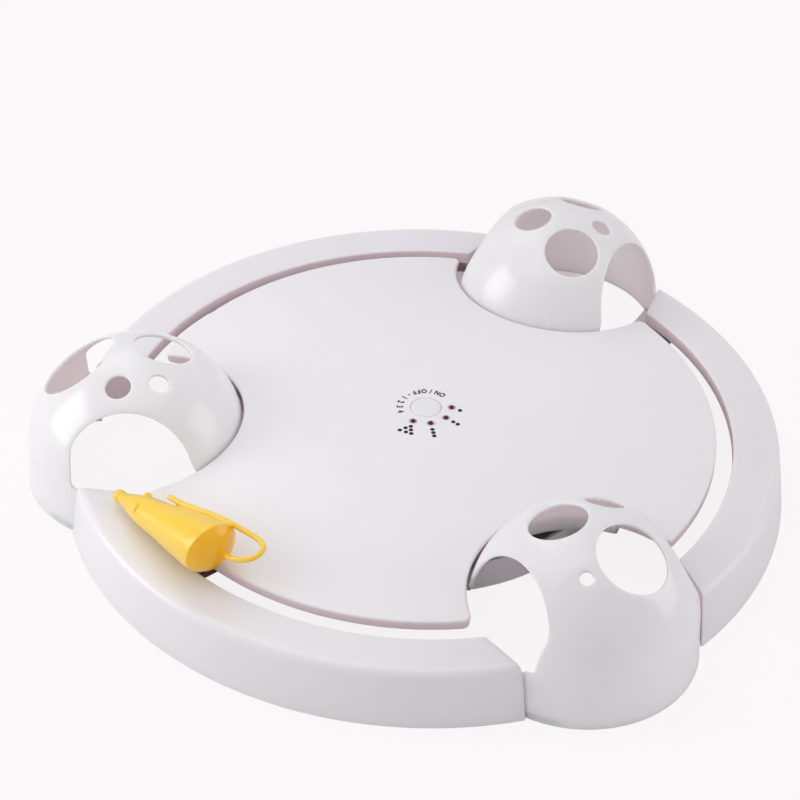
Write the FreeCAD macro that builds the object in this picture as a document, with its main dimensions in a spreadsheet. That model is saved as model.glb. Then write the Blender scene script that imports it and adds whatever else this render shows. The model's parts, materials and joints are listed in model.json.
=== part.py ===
import FreeCAD, Part
import Sketcher
import math
import os
import re
from types import SimpleNamespace

# A motor-driven chase toy for cats. A fixed crowned platform stands inside a raised ring, with a
# slot between them that is open to the floor. Three perforated tunnel domes bridge the slot and
# hold platform and ring together. Under the platform a toothed rotor turns on a base housing and
# carries an arm, whose post comes up through the slot and drives a rubber mouse round.
#
# Millimetres. The origin is on the floor, on the rotor's axis, with +Z up. The first dome stands
# on -X, the others at 120 degrees from it. Inside a dome, u is outward from the rotor's axis and
# w is along the track.

SIZES = [
    # platform: a shallow spherical cap with a down-turned rim and three round bites
    ("platform_radius", 156.0, "outer radius of the platform"),
    ("platform_edge", 35.1, "height of the platform's top at its edge"),
    ("platform_crown", 10.6, "rise of the platform's middle over its edge"),
    ("platform_skin", 2.4, "thickness of the platform's top"),
    ("rim_wall", 2.2, "thickness of the down-turned rim"),
    ("rim_bottom", 30.0, "height of the rim's lower edge"),
    ("rim_round", 1.2, "rounding of the platform's top edges"),
    ("bite_gap", 1.5, "gap between a dome and the wall of its bite"),
    ("bite_corner", 4.0, "rounding of the bite's corners"),
    ("stay_inner", 77.0, "inner radius of the rib that keeps the rotor down"),
    ("stay_wall", 2.0, "thickness of that rib"),
    # ring
    ("ring_inner", 165.2, "inner radius of the ring"),
    ("ring_top", 32.9, "height of the ring's top"),
    ("ring_floor_radius", 194.1, "outer radius of the ring at the floor"),
    ("ring_top_radius", 190.0, "outer radius of the ring's wall at the height of its top"),
    ("ring_round", 4.6, "rounding of the ring's outer top edge"),
    ("ring_lip_round", 1.2, "rounding of the ring's inner top edge"),
    ("ring_skin", 2.2, "wall of the ring"),
    ("ring_lip", 8.0, "depth of the ring's inner lip"),
    ("ring_end_inner", 57.5, "half gap between ring ends at the dome's middle"),
    ("ring_end_slant", 9.0, "angle of a ring end to the dome's centre line, degrees"),
    ("ring_end_wall", 2.0, "thickness of the wall that closes a ring end"),
    ("ring_end_bottom", 4.2, "height of the lower edge of the wall that closes a ring end"),
    # domes
    ("dome_orbit", 155.0, "distance of a dome's middle from the rotor's axis"),
    ("dome_radius", 58.6, "outer radius of the dome's hemisphere"),
    ("dome_spring", 22.2, "height at which the hemisphere starts"),
    ("dome_floor_radius", 60.0, "outer radius of the dome's skirt at the floor"),
    ("dome_wall", 2.2, "wall of the dome"),
    ("arch_radius", 33.6, "radius of the tunnel's arch"),
    ("arch_offset", 0.6, "how far the arch's middle lies outward of the dome's middle"),
    ("arch_spring", 34.3, "height of the arch's middle"),
    ("arch_outer", 30.8, "how far outward the tunnel's outer leg stands"),
    ("arch_inner", 36.3, "how far inward the tunnel's inner leg stands"),
    ("arch_flare", 33.0, "height at which the inner leg starts to lean"),
    ("arch_shoulder", 32.4, "how far inward the leaning part meets the arch"),
    ("arch_shoulder_height", 40.4, "height at which it meets the arch"),
    ("flange_outer", 62.0, "outer radius of the flange under the platform's bite"),
    ("tongue_radius", 58.2, "outer radius of the tongues behind the ring's ends"),
    ("tongue_skin", 2.0, "thickness of a tongue"),
    ("tongue_start", 24.5, "how far outward of the dome's middle a tongue starts"),
    ("tongue_bottom", 0.6, "height of a tongue's lower edge"),
    ("dome_inner_bottom", 28.0, "height of the dome's lower edge under the platform"),
    ("dome_tab_inner", 57.0, "where a dome's platform tab starts, from the dome's middle"),
    ("dome_tab_outer", 68.6, "where that tab ends"),
    ("dome_tab_width", 9.0, "width of that tab"),
    ("dome_screw_orbit", 64.4, "distance of a platform tab's screw from the dome's middle"),
    ("dome_boss_radius", 3.4, "radius of the bosses that take dome and ring screws"),
    ("foot_tab_bottom", 1.8, "height of the underside of a dome's ring tab"),
    ("foot_tab_skin", 2.0, "thickness of a dome's ring tab"),
    ("foot_tab_inner", 14.5, "where a ring tab starts outward of the dome's middle"),
    ("foot_tab_near", 40.0, "where a ring tab starts along the track"),
    ("foot_tab_step", 50.0, "where along the track a ring tab widens inward"),
    ("foot_tab_narrow", 24.5, "where its narrow part starts outward of the dome's middle"),
    ("foot_tab_far", 66.5, "where a ring tab ends along the track"),
    ("foot_screw_out", 19.5, "how far outward of the dome's middle a ring screw stands"),
    ("foot_screw_along", 61.5, "how far along the track a ring screw stands"),
    ("dome_tab_angle", 32.0, "angle of each tab from the dome's inward direction, degrees"),
    # base housing
    ("base_radius", 99.5, "outer radius of the base housing"),
    ("base_bottom", 1.6, "height of the base's underside"),
    ("base_skin", 2.4, "thickness of the base's floor"),
    ("base_wall_top", 20.0, "height of the base's outer wall"),
    ("base_wall", 2.0, "thickness of the base's outer wall"),
    ("rail_inner", 70.0, "inner radius of the rail that the rotor runs on"),
    ("rail_outer", 73.0, "outer radius of the rail"),
    ("rail_top", 21.0, "height of the rail's top"),
    ("pad_top", 21.9, "height of the glide pads in the rail"),
    ("pad_width", 12.0, "length of a glide pad along the rail"),
    ("pad_depth", 5.0, "height of a glide pad"),
    ("foot_radius", 5.0, "radius of a rubber foot"),
    ("foot_height", 2.4, "height of a rubber foot"),
    ("foot_recess", 0.8, "depth of the recess for a foot"),
    ("foot_orbit", 79.0, "distance of the outer feet from the axis"),
    # battery bay: three AA cells side by side, lying along X
    ("cell_radius", 7.25, "radius of a cell"),
    ("cell_length", 49.5, "length of a cell's can"),
    ("cell_pitch", 14.8, "distance from cell to cell"),
    ("cell_height", 12.35, "height of the cells' axes"),
    ("cell_middle_back", 28.0, "distance of the middle cell behind the axis"),
    ("nub_radius", 2.75, "radius of a cell's button"),
    ("nub_length", 1.0, "length of a cell's button"),
    ("bay_length", 55.6, "inner length of the battery bay"),
    ("bay_width", 44.8, "inner width of the battery bay"),
    ("bay_wall", 1.8, "wall of the battery bay"),
    ("bay_top", 19.6, "height of the bay's walls"),
    ("door_gap", 0.3, "gap round the battery door"),
    ("door_skin", 2.0, "thickness of the battery door"),
    ("door_ear_out", 32.6, "distance of the door's screw ear from the bay's middle"),
    ("door_ear_radius", 4.5, "radius of that ear"),
    ("door_tongue_width", 6.0, "width of a door tongue"),
    ("door_tongue_skin", 1.2, "thickness of a door tongue"),
    ("strip_skin", 0.5, "thickness of a contact strip"),
    ("strip_bottom", 7.0, "height of a contact strip's lower edge"),
    ("strip_height", 11.0, "height of a contact strip"),
    ("strip_width", 42.0, "length of a contact strip"),
    # rotor
    ("rotor_bottom", 22.0, "height of the rotor's underside"),
    ("rotor_skin", 2.4, "thickness of the rotor's disc"),
    ("rotor_radius", 90.0, "outer radius of the rotor's disc"),
    ("ring_gear_bottom", 15.5, "height of the lower edge of the rotor's teeth"),
    ("ring_gear_back", 68.2, "outer radius of the toothed band"),
    ("collar_inner", 73.4, "inner radius of the collar that runs round the rail"),
    ("collar_wall", 2.2, "thickness of that collar"),
    ("collar_bottom", 16.5, "height of the collar's lower edge"),
    ("arm_root_half", 9.0, "half width of the arm at the rotor"),
    ("arm_tip_half", 5.0, "half width of the arm at its tip"),
    ("arm_bottom", 20.6, "height of the arm's underside"),
    ("track_radius", 160.6, "radius of the circle that the mouse runs on"),
    ("arm_boss_radius", 3.9, "radius of the boss at the arm's tip"),
    ("arm_boss_top", 27.5, "height of that boss"),
    ("post_radius", 2.2, "radius of the post through the slot"),
    ("post_top", 41.5, "height of the post's end inside the mouse"),
    ("post_flange_radius", 3.4, "radius of the flange under the mouse"),
    ("post_flange_bottom", 32.8, "height of the flange's underside"),
    ("post_flange_top", 34.0, "height of the flange's top"),
    ("arm_screw_orbit", 82.4, "distance of the arm's screws from the axis"),
    ("arm_screw_half", 5.6, "half distance between the arm's screws"),
    ("arm_screw_boss", 2.8, "radius of the arm's screw bosses"),
    ("arm_screw_bottom", 16.8, "height of the lower end of the arm's screw bosses"),
    ("mouse_bearing", 222.8, "where the mouse stands on its circle, degrees"),
    # gears: tooth counts and modules
    ("ring_teeth", 72, "teeth inside the rotor"),
    ("ring_module", 1.75, "module of the rotor's teeth"),
    ("drive_small_teeth", 10, "teeth of the drive gear that turn the rotor"),
    ("drive_big_teeth", 33, "teeth of the drive gear's wheel"),
    ("drive_module", 0.8, "module of the drive gear's wheel"),
    ("step_small_teeth", 10, "teeth of the step gear's pinion"),
    ("step_big_teeth", 36, "teeth of the step gear's wheel"),
    ("step_module", 0.6, "module of the step gear's wheel"),
    ("step_wheel_bottom", 5.6, "height of the step gear's underside"),
    ("step_wheel_top", 9.3, "height of the top of the step gear's wheel"),
    ("drive_wheel_bottom", 10.5, "height of the drive gear's underside"),
    ("drive_wheel_top", 14.0, "height of the top of the drive gear's wheel"),
    ("drive_pinion_top", 21.8, "height of the drive gear's top"),
    ("gear_boss_radius", 2.5, "radius of the bosses round the axles"),
    ("axle_bottom", 3.0, "height of the axles' lower ends"),
    ("motor_teeth", 9, "teeth of the motor pinion"),
    ("drive_bearing", 90.0, "where the drive gear stands, degrees"),
    ("step_bearing", -45.0, "direction from drive gear to step gear, degrees"),
    ("motor_bearing", 262.0, "direction from step gear to motor, degrees"),
    ("axle_radius", 1.0, "radius of the axles and the motor shaft"),
    ("axle_clearance", 0.05, "gap between a gear's bore and its axle"),
    # motor
    ("motor_radius", 10.05, "radius of the motor can"),
    ("motor_across_flats", 15.1, "distance across the can's flats"),
    ("motor_bottom", 11.3, "height of the can's lower end"),
    ("motor_length", 25.0, "length of the can"),
    ("motor_nub_radius", 3.0, "radius of the motor's rear bearing"),
    ("motor_nub", 0.9, "height of the motor's rear bearing"),
    ("shaft_bottom", 5.4, "height of the shaft's lower end"),
    ("shaft_depth", 3.0, "how far the shaft reaches into the can"),
    ("bracket_bottom", 9.9, "height of the motor bracket's underside"),
    ("bracket_skin", 1.4, "thickness of the motor bracket"),
    ("bracket_length", 36.0, "length of the motor bracket"),
    ("bracket_width", 12.0, "width of the motor bracket"),
    ("bracket_screw_half", 14.5, "half distance between the bracket's screws"),
    ("motor_screw_half", 5.2, "half distance between the screws into the motor"),
    ("mount_post_radius", 3.0, "radius of the posts under bracket and gear plate"),
    ("plate_bottom", 22.6, "height of the gear plate's underside"),
    ("plate_skin", 1.8, "thickness of the gear plate"),
    # control panel
    ("button_radius", 8.15, "radius of the power button"),
    ("button_gap", 0.35, "gap round the power button"),
    ("button_top", 46.2, "height of the button's top"),
    ("button_bottom", 42.2, "height of the button's underside"),
    ("button_flange", 9.7, "radius of the flange that keeps the button in"),
    ("button_flange_skin", 0.8, "thickness of that flange"),
    ("light_orbit", 13.8, "distance of the lights from the button's middle"),
    ("light_radius", 1.95, "radius of a light"),
    ("light_step", 40.0, "angle from light to light, degrees"),
    ("light_middle", -60.0, "direction of the middle of the row of lights, degrees"),
    ("light_shoulder", 44.9, "height at which a light's round end starts"),
    ("board_bottom", 36.9, "height of the circuit board's underside"),
    ("board_skin", 1.6, "thickness of the circuit board"),
    ("board_radius", 20.5, "radius of the circuit board"),
    ("board_post_orbit", 17.5, "distance of the board's posts from the axis"),
    ("board_post_radius", 2.0, "radius of the board's posts"),
    ("board_screw_length", 4.2, "length of a board screw's shank"),
    ("switch_width", 6.2, "width of the push switch"),
    ("switch_top", 40.9, "height of the push switch's top"),
    ("plunger_radius", 1.75, "radius of the switch's plunger"),
    ("plunger_bottom", 40.0, "height of the plunger's lower end"),
    ("plunger_well", 38.9, "height of the bottom of the plunger's well"),
    ("chip_length", 9.0, "length of the control chip"),
    ("chip_width", 5.0, "width of the control chip"),
    ("chip_height", 1.5, "height of the control chip"),
    # fasteners
    ("long_boss_split", 26.0, "height at which base boss and cover boss meet"),
    ("long_boss_orbit", 54.0, "distance of the cover screws from the axis"),
    ("long_boss_radius", 4.3, "radius of a cover screw's boss"),
    ("cover_screw_seat", 14.0, "height at which a cover screw's head seats"),
    ("cover_screw_length", 23.0, "length of a cover screw's shank"),
    ("head_clearance", 0.3, "gap round a screw's head in its counterbore"),
    ("screw_radius", 1.25, "radius of a large screw's shank"),
    ("screw_head_radius", 2.7, "radius of a large screw's head"),
    ("screw_head", 1.6, "height of a large screw's head"),
    ("screw_clearance", 0.35, "gap round a shank where it passes freely"),
    ("small_screw_radius", 0.9, "radius of a small screw's shank"),
    ("small_screw_head_radius", 1.7, "radius of a small screw's head"),
    ("small_screw_head", 1.1, "height of a small screw's head"),
    # mouse
    ("mouse_nose_out", 172.3, "distance of the mouse's nose from the rotor's axis"),
    ("mouse_nose_bearing", 203.4, "direction of the nose, degrees"),
    ("mouse_nose_height", 39.2, "height of the nose's middle"),
    ("mouse_rump_out", 162.4, "distance of the rump's widest circle from the rotor's axis"),
    ("mouse_rump_bearing", 228.5, "direction of that circle's middle, degrees"),
    ("mouse_rump_height", 51.5, "height of that circle's middle"),
    ("mouse_lean", 15.0, "how far the widest circle leans back, degrees"),
    ("mouse_turn", -6.5, "how far the widest circle turns to the rotor's axis, degrees"),
    ("mouse_lean_start", 14.0, "distance behind the nose tip where that lean starts"),
    ("nose_radius", 3.7, "radius of the nose"),
    ("nose_setback", 4.2, "distance of the nose's middle behind the nose tip"),
    ("mouse_saddle_radius", 3.4, "radius of the mouse's saddle on the post"),
    ("ear_radius", 2.3, "radius of a mouse ear"),
    ("ear_along", 23.0, "distance of the ears behind the nose tip"),
    ("ear_out", 7.0, "distance of the ears from the mouse's middle line"),
    ("ear_spread", 50.0, "angle of each ear from the upright, degrees"),
    ("tail_radius", 1.5, "radius of the tail"),
]

DOME_BEARINGS = [180.0, 60.0, -60.0]

# Holes of each dome: bearing and elevation of the hole's axis from the hemisphere's centre in
# degrees (0 is outward, 90 along the track), then the hole's radius.
DOME_HOLES = [
    [(-14.0, 55.0, 22.5), (-145.0, 71.0, 15.6), (75.0, 66.0, 6.8), (128.0, 65.0, 5.4)],
    [(0.0, 62.0, 13.0), (-139.0, 62.0, 15.1), (121.0, 74.0, 10.6), (-73.0, 66.0, 5.6)],
    [(25.0, 63.0, 19.5), (-146.0, 73.0, 15.1), (130.0, 61.0, 10.2), (-35.0, 59.0, 3.5)],
]

LONG_BOSS_BEARINGS = [12.0, 168.0, 222.0, 318.0]
BOARD_POST_BEARINGS = [30.0, 150.0, 260.0]
FOOT_BEARINGS = [30.0, 150.0, 270.0]
PAD_BEARINGS = [0.0, 120.0, 240.0]
RIB_BEARINGS = [0.0, 60.0, 120.0, 180.0, 240.0, 300.0]
PLATE_POSTS = [(-17.0, 40.0), (28.0, 38.0), (-6.0, 21.5)]

# Outline of the gear plate, x and y.
PLATE_OUTLINE = [
    (-21.5, 43.5), (-4.5, 57.6), (4.5, 57.6), (32.5, 42.0), (32.5, 30.0), (23.0, 15.5),
    (-10.5, 15.5), (-21.5, 35.5),
]

# Cross sections of the mouse: distance of the middle behind the nose tip, then radius.
MOUSE_SECTIONS = [
    (4.2, 2.9), (8.6, 3.3), (15.8, 5.5), (26.6, 8.0), (40.7, 9.8), (54.3, 12.0), (65.6, 13.6), (74.6, 14.8),
    (78.6, 14.8),
]

# Profile of the mouse's rear: distance behind the widest circle, then radius.
MOUSE_REAR = [(0.0, 14.8), (0.9, 14.0), (3.4, 11.7), (5.6, 8.4), (7.1, 4.3), (7.7, 0.0)]

# Middle line of the tail: distance behind the nose tip, distance from the mouse's middle line,
# and the angle toward the top from the side that faces the rotor's axis, in degrees.
TAIL_LINE = [
    (85.7, 0.5, 0.0), (94.1, 0.6, 5.0), (101.0, 3.4, 12.0), (105.2, 8.0, 16.0), (105.3, 13.9, 18.0),
    (100.2, 16.1, 20.0), (93.5, 16.2, 24.0), (86.7, 15.9, 28.0), (80.8, 15.7, 34.0), (70.5, 15.2, 38.0),
    (60.1, 13.9, 42.0), (53.1, 12.9, 44.0), (45.1, 12.1, 44.0), (36.5, 12.1, 42.0),
]

doc = FreeCAD.newDocument("ChaseTurntable")
sheet = doc.addObject("Spreadsheet::Sheet", "Sizes")
for row, (alias, number, note) in enumerate(SIZES, start=1):
    sheet.set("A%d" % row, alias)
    sheet.set("B%d" % row, str(number))
    sheet.setAlias("B%d" % row, alias)
    sheet.set("C%d" % row, note)
doc.recompute()

ALIASES = [alias for alias, number, note in SIZES]
size = SimpleNamespace(**{alias: float(sheet.get(alias)) for alias in ALIASES})
ORIGIN = FreeCAD.Vector(0, 0, 0)
UP = FreeCAD.Vector(0, 0, 1)
OVER = 200.0        # reach of a cutting box past what it cuts
CROWN_SPHERE = "(platform_radius ^ 2 + platform_crown ^ 2) / (2 * platform_crown)"
CROWN_TOP = "platform_edge + platform_crown"
BASE_FLOOR = "base_bottom + base_skin"
BOARD_TOP = "board_bottom + board_skin"
nodes = []


def formula(text):
    """Point each size named in a formula at its cell in the sheet."""
    def cell(match):
        word = match.group(0)
        return "Sizes." + word if word in ALIASES else word
    return re.sub(r"[A-Za-z_]+", cell, text)


def amount(text):
    """Value of a formula made only of sizes and numbers with + and - between them."""
    total = 0.0
    sign = 1
    for word in text.split():
        if word in "+-":
            sign = 1 if word == "+" else -1
            continue
        total += sign * (getattr(size, word) if word in ALIASES else float(word))
    return total


def bind(thing, **formulas):
    """Bind properties of a document object to formulas; Base_x stands for Placement.Base.x."""
    for name, text in formulas.items():
        path = name.replace("Base_", "Placement.Base.")
        thing.setExpression(path, formula(text))
    return thing


def cylinder(radius, height, z="0"):
    """Upright cylinder on the axis whose lower end is at z."""
    thing = doc.addObject("Part::Cylinder", "Cylinder")
    return bind(thing, Radius=radius, Height=height, Base_z=z)


def cone(lower, upper, height, z="0"):
    """Upright cone frustum on the axis."""
    thing = doc.addObject("Part::Cone", "Cone")
    return bind(thing, Radius1=lower, Radius2=upper, Height=height, Base_z=z)


def box(length, width, height, x="0", y="0", z="0"):
    """Box centred on x and y, with its lower face at z."""
    thing = doc.addObject("Part::Box", "Box")
    bind(thing, Length=length, Width=width, Height=height)
    return bind(thing, Base_x="%s - (%s) / 2" % (x, length), Base_y="%s - (%s) / 2" % (y, width), Base_z=z)


def fuse(*things):
    """One solid from several."""
    joined = doc.addObject("Part::MultiFuse", "Fuse")
    joined.Shapes = list(things)
    joined.Refine = True
    return joined


def cut(base, *tools):
    """The base less every tool."""
    tool = tools[0] if len(tools) == 1 else group(*tools)
    less = doc.addObject("Part::Cut", "Cut")
    less.Base = base
    less.Tool = tool
    return less


def common(*things):
    """What several solids share."""
    shared = doc.addObject("Part::MultiCommon", "Common")
    shared.Shapes = list(things)
    return shared


def group(*things):
    """Several solids as one object, each still on its own."""
    together = doc.addObject("Part::Compound", "Group")
    together.Links = list(things)
    return together


def tube(outer, inner, height, z="0"):
    """Upright tube on the axis."""
    return cut(cylinder(outer, height, z), cylinder(inner, height + " + 2", z + " - 1"))


def polar(radius, bearing, height=0.0):
    """Point at a radius and a bearing in degrees."""
    angle = math.radians(bearing)
    return FreeCAD.Vector(radius * math.cos(angle), radius * math.sin(angle), height)


def placed(thing, point=ORIGIN, bearing=0.0):
    """The thing turned by a bearing about the upright axis and then moved to a point."""
    moved = group(thing)
    moved.Placement = FreeCAD.Placement(point, FreeCAD.Rotation(UP, bearing))
    return moved


def on_circle(thing, orbit, bearing):
    """The thing moved out to an orbit, at a bearing, and turned with it."""
    moved = placed(thing, polar(amount(orbit), bearing), bearing)
    return bind(moved, Base_x="(%s) * cos(%s deg)" % (orbit, bearing),
                Base_y="(%s) * sin(%s deg)" % (orbit, bearing))


def in_domes(*things):
    """Copies of things drawn in a dome's own frame, one for each dome."""
    return group(*[on_circle(group(*things), "dome_orbit", bearing) for bearing in DOME_BEARINGS])


def solid(shape):
    """A document object that holds a worked-out shape."""
    thing = doc.addObject("Part::Feature", "Solid")
    thing.Shape = shape
    return thing


def sub_part(thing, label):
    """Name a finished sub-part, which also names its file."""
    thing.Label = label
    nodes.append(thing)
    return thing


def sketched(body, name, role, points):
    """Closed polygon sketch on a plane of a body, each corner bound to two formulas."""
    sketch = body.newObject("Sketcher::SketchObject", name + "Profile")
    plane = [item for item in body.Origin.OriginFeatures if item.Role == role][0]
    sketch.AttachmentSupport = [(plane, "")]
    sketch.MapMode = "FlatFace"
    spots = [FreeCAD.Vector(amount(across), amount(along), 0) for across, along in points]
    count = len(spots)
    for number in range(count):
        sketch.addGeometry(Part.LineSegment(spots[number], spots[(number + 1) % count]), False)
    for number in range(count):
        sketch.addConstraint(Sketcher.Constraint("Coincident", number, 2, (number + 1) % count, 1))
    for number, pair in enumerate(points):
        for kind, text in zip(("DistanceX", "DistanceY"), pair):
            if amount(text) == 0.0:
                axis = -2 if kind == "DistanceX" else -1
                sketch.addConstraint(Sketcher.Constraint("PointOnObject", number, 1, axis))
                continue
            place = sketch.addConstraint(Sketcher.Constraint(kind, -1, 1, number, 1, amount(text)))
            sketch.setExpression("Constraints[%d]" % place, formula(text))
    return sketch


def revolved(name, points):
    """Body from a closed profile in radius and height, turned about the Z axis."""
    body = doc.addObject("PartDesign::Body", name)
    sketch = sketched(body, name, "XZ_Plane", points)
    turn = body.newObject("PartDesign::Revolution", name + "Turn")
    turn.Profile = sketch
    turn.ReferenceAxis = (sketch, ["V_Axis"])
    turn.Angle = 360.0
    doc.recompute()
    return body


def padded(name, points, height, z):
    """Body from a closed outline in x and y, raised by a height from z."""
    body = doc.addObject("PartDesign::Body", name)
    sketch = sketched(body, name, "XY_Plane", points)
    pad = body.newObject("PartDesign::Pad", name + "Pad")
    pad.Profile = sketch
    bind(pad, Length=height)
    bind(body, Base_z=z)
    doc.recompute()
    return body


def rounded(body, radius, chosen):
    """Fillet the edges of a body that the test picks."""
    last = body.Tip
    names = ["Edge%d" % number for number, edge in enumerate(last.Shape.Edges, start=1) if chosen(edge)]
    fillet = body.newObject("PartDesign::Fillet", body.Name + "Round")
    fillet.Base = (last, names)
    bind(fillet, Radius=radius)
    doc.recompute()
    return body


def circle_at(radius, height):
    """Test for a circular edge about the Z axis, of a radius and at a height."""
    def test(edge):
        curve = edge.Curve
        if not isinstance(curve, Part.Circle):
            return False
        return abs(curve.Center.z - amount(height)) < 0.01 and abs(curve.Radius - amount(radius)) < 0.01
    return test


def wheel_face(teeth, module, inside=False):
    """Outline of a toothed wheel with straight flanks; inside points the teeth to the middle."""
    pitch_radius = teeth * module / 2
    side = -1 if inside else 1
    root = pitch_radius - side * 1.25 * module
    tip = pitch_radius + side * 0.9 * module
    step = 2 * math.pi / teeth
    corners = []
    for number in range(int(teeth)):
        for radius, share in ((root, -0.33), (tip, -0.11), (tip, 0.11), (root, 0.33)):
            angle = (number + share) * step
            corners.append(FreeCAD.Vector(radius * math.cos(angle), radius * math.sin(angle), 0))
    return Part.Face(Part.makePolygon(corners + corners[:1]))


def wheel(teeth, module, bottom, top, turn=0.0, inside=False):
    """Toothed wheel on the axis, from bottom to top, with one tooth at the turn's bearing."""
    shape = wheel_face(teeth, module, inside).extrude(FreeCAD.Vector(0, 0, top - bottom))
    shape.rotate(ORIGIN, UP, turn)
    shape.translate(FreeCAD.Vector(0, 0, bottom))
    return shape


def screw(point, seat, length, shank, head, head_height):
    """Screw that points up: its head sits under the seat and its shank rises above it."""
    low = FreeCAD.Vector(point.x, point.y, seat - head_height)
    middle = FreeCAD.Vector(point.x, point.y, seat)
    slot = Part.makeBox(2 * head, head / 4, head_height / 2, low - FreeCAD.Vector(head, head / 8, 0))
    shape = Part.makeCylinder(head, head_height, low).fuse(Part.makeCylinder(shank, length, middle))
    return shape.cut(slot).removeSplitter()


def screw_down(point, seat, length, shank, head, head_height):
    """Screw that points down: its head stands on the seat and its shank goes below it."""
    shape = screw(FreeCAD.Vector(point.x, -point.y, 0), -seat, length, shank, head, head_height)
    shape.rotate(ORIGIN, FreeCAD.Vector(1, 0, 0), 180)
    return shape


def large_screw(point, seat, length):
    return screw(point, seat, length, size.screw_radius, size.screw_head_radius, size.screw_head)


def dome_points(out, along):
    """World points of a spot in the dome's frame, mirrored along the track, for every dome."""
    points = []
    for bearing in DOME_BEARINGS:
        for side in (-1, 1):
            points.append(polar(size.dome_orbit + out, bearing) + polar(side * along, bearing + 90))
    return points


def tab_screw_points():
    """Where the domes' inner tabs are screwed to the platform, two to a dome."""
    spot = polar(size.dome_screw_orbit, 180 - size.dome_tab_angle)
    return dome_points(spot.x, spot.y)


def foot_screw_points():
    """Where the domes' outer tabs are screwed to the ring, two to a dome."""
    return dome_points(size.foot_screw_out, size.foot_screw_along)


drive_spot = polar((size.ring_teeth - size.drive_small_teeth) * size.ring_module / 2, size.drive_bearing)
step_reach = (size.drive_big_teeth + size.step_small_teeth) * size.drive_module / 2
step_spot = drive_spot + polar(step_reach, size.step_bearing)
motor_reach = (size.step_big_teeth + size.motor_teeth) * size.step_module / 2
motor_spot = step_spot + polar(motor_reach, size.motor_bearing)


# ---------------------------------------------------------------- platform cover

def cap(radius, skin, bottom):
    """The space under the platform's crowned surface, less a skin, down to a height."""
    crown = doc.addObject("Part::Sphere", "Crown")
    bind(crown, Radius="%s - %s" % (CROWN_SPHERE, skin), Base_z="%s - %s" % (CROWN_TOP, CROWN_SPHERE))
    return common(crown, cylinder(radius, "%s + 1 - (%s)" % (CROWN_TOP, bottom), bottom))


def bites(extra="0"):
    """The room that the platform leaves round each dome: balls that follow the domes, grown by an extra."""
    ball = doc.addObject("Part::Sphere", "Bite")
    bind(ball, Radius="dome_radius + bite_gap + %s" % extra, Base_z="dome_spring")
    return in_domes(ball)


def rounded_platform():
    """The platform's outside: crowned cap with bites, its corners and top edges rounded."""
    blank = cut(cap("platform_radius", "0", "rim_bottom"), bites())
    doc.recompute()
    corners = doc.addObject("Part::Fillet", "BiteCorners")
    corners.Base = blank
    picked = []
    for number, edge in enumerate(blank.Shape.Edges, start=1):
        rise = size.platform_edge - size.rim_bottom
        if edge.BoundBox.ZLength > rise / 2 and edge.Length < 2 * rise:
            picked.append((number, size.bite_corner, size.bite_corner))
    corners.Edges = picked
    doc.recompute()
    top_edge = doc.addObject("Part::Fillet", "TopEdge")
    top_edge.Base = corners
    picked = []
    for number, edge in enumerate(corners.Shape.Edges, start=1):
        if edge.BoundBox.ZMin > size.platform_edge - 0.5:
            picked.append((number, size.rim_round, size.rim_round))
    top_edge.Edges = picked
    doc.recompute()
    return top_edge


def build_platform_cover():
    cavity = cut(cap("platform_radius - rim_wall", "platform_skin", "rim_bottom - 1"), bites("rim_wall"))
    shell = cut(rounded_platform(), cavity)
    tall = "platform_crown + platform_edge"
    inner = [tube("stay_inner + stay_wall", "stay_inner", tall, "rotor_bottom + rotor_skin + 0.4")]
    for bearing in RIB_BEARINGS:
        outer = "platform_radius - 1"
        if bearing in [value % 360 for value in DOME_BEARINGS]:
            outer = "dome_orbit - dome_radius"
        length = "%s - stay_inner - 1" % outer
        rib = box(length, "stay_wall - 0.4", tall, x="stay_inner + 1 + (%s) / 2" % length, z="rim_bottom + 1")
        inner.append(placed(rib, ORIGIN, bearing))
    for bearing in LONG_BOSS_BEARINGS:
        boss = cylinder("long_boss_radius", tall, "long_boss_split")
        inner.append(on_circle(boss, "long_boss_orbit", bearing))
    for bearing in BOARD_POST_BEARINGS:
        inner.append(on_circle(cylinder("board_post_radius", tall, BOARD_TOP), "board_post_orbit", bearing))
    for point in tab_screw_points():
        inner.append(placed(cylinder("dome_boss_radius", tall, "rim_bottom"), point))
    trimmed = common(fuse(*inner), cap("platform_radius - 1", "platform_skin / 2", "rotor_bottom"))
    trimmed = cut(trimmed, bites("rim_wall / 2"))
    holes = [cylinder("button_radius + button_gap", "platform_crown", "button_bottom")]
    for number in range(4):
        bearing = size.light_middle + (1.5 - number) * size.light_step
        hole = cylinder("light_radius + 0.2", "platform_crown", BOARD_TOP)
        holes.append(on_circle(hole, "light_orbit", bearing))
    for bearing in LONG_BOSS_BEARINGS:
        hole = cylinder("screw_radius", "cover_screw_seat + cover_screw_length - 25", "long_boss_split - 1")
        holes.append(on_circle(hole, "long_boss_orbit", bearing))
    for bearing in BOARD_POST_BEARINGS:
        hole = cylinder("small_screw_radius", "board_screw_length + 0.3", "board_bottom")
        holes.append(on_circle(hole, "board_post_orbit", bearing))
    for point in tab_screw_points():
        holes.append(placed(cylinder("screw_radius", "5", "rim_bottom - 1"), point))
    sub_part(cut(fuse(shell, trimmed), *holes), "platform_cover")


# ---------------------------------------------------------------- ring

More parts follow.
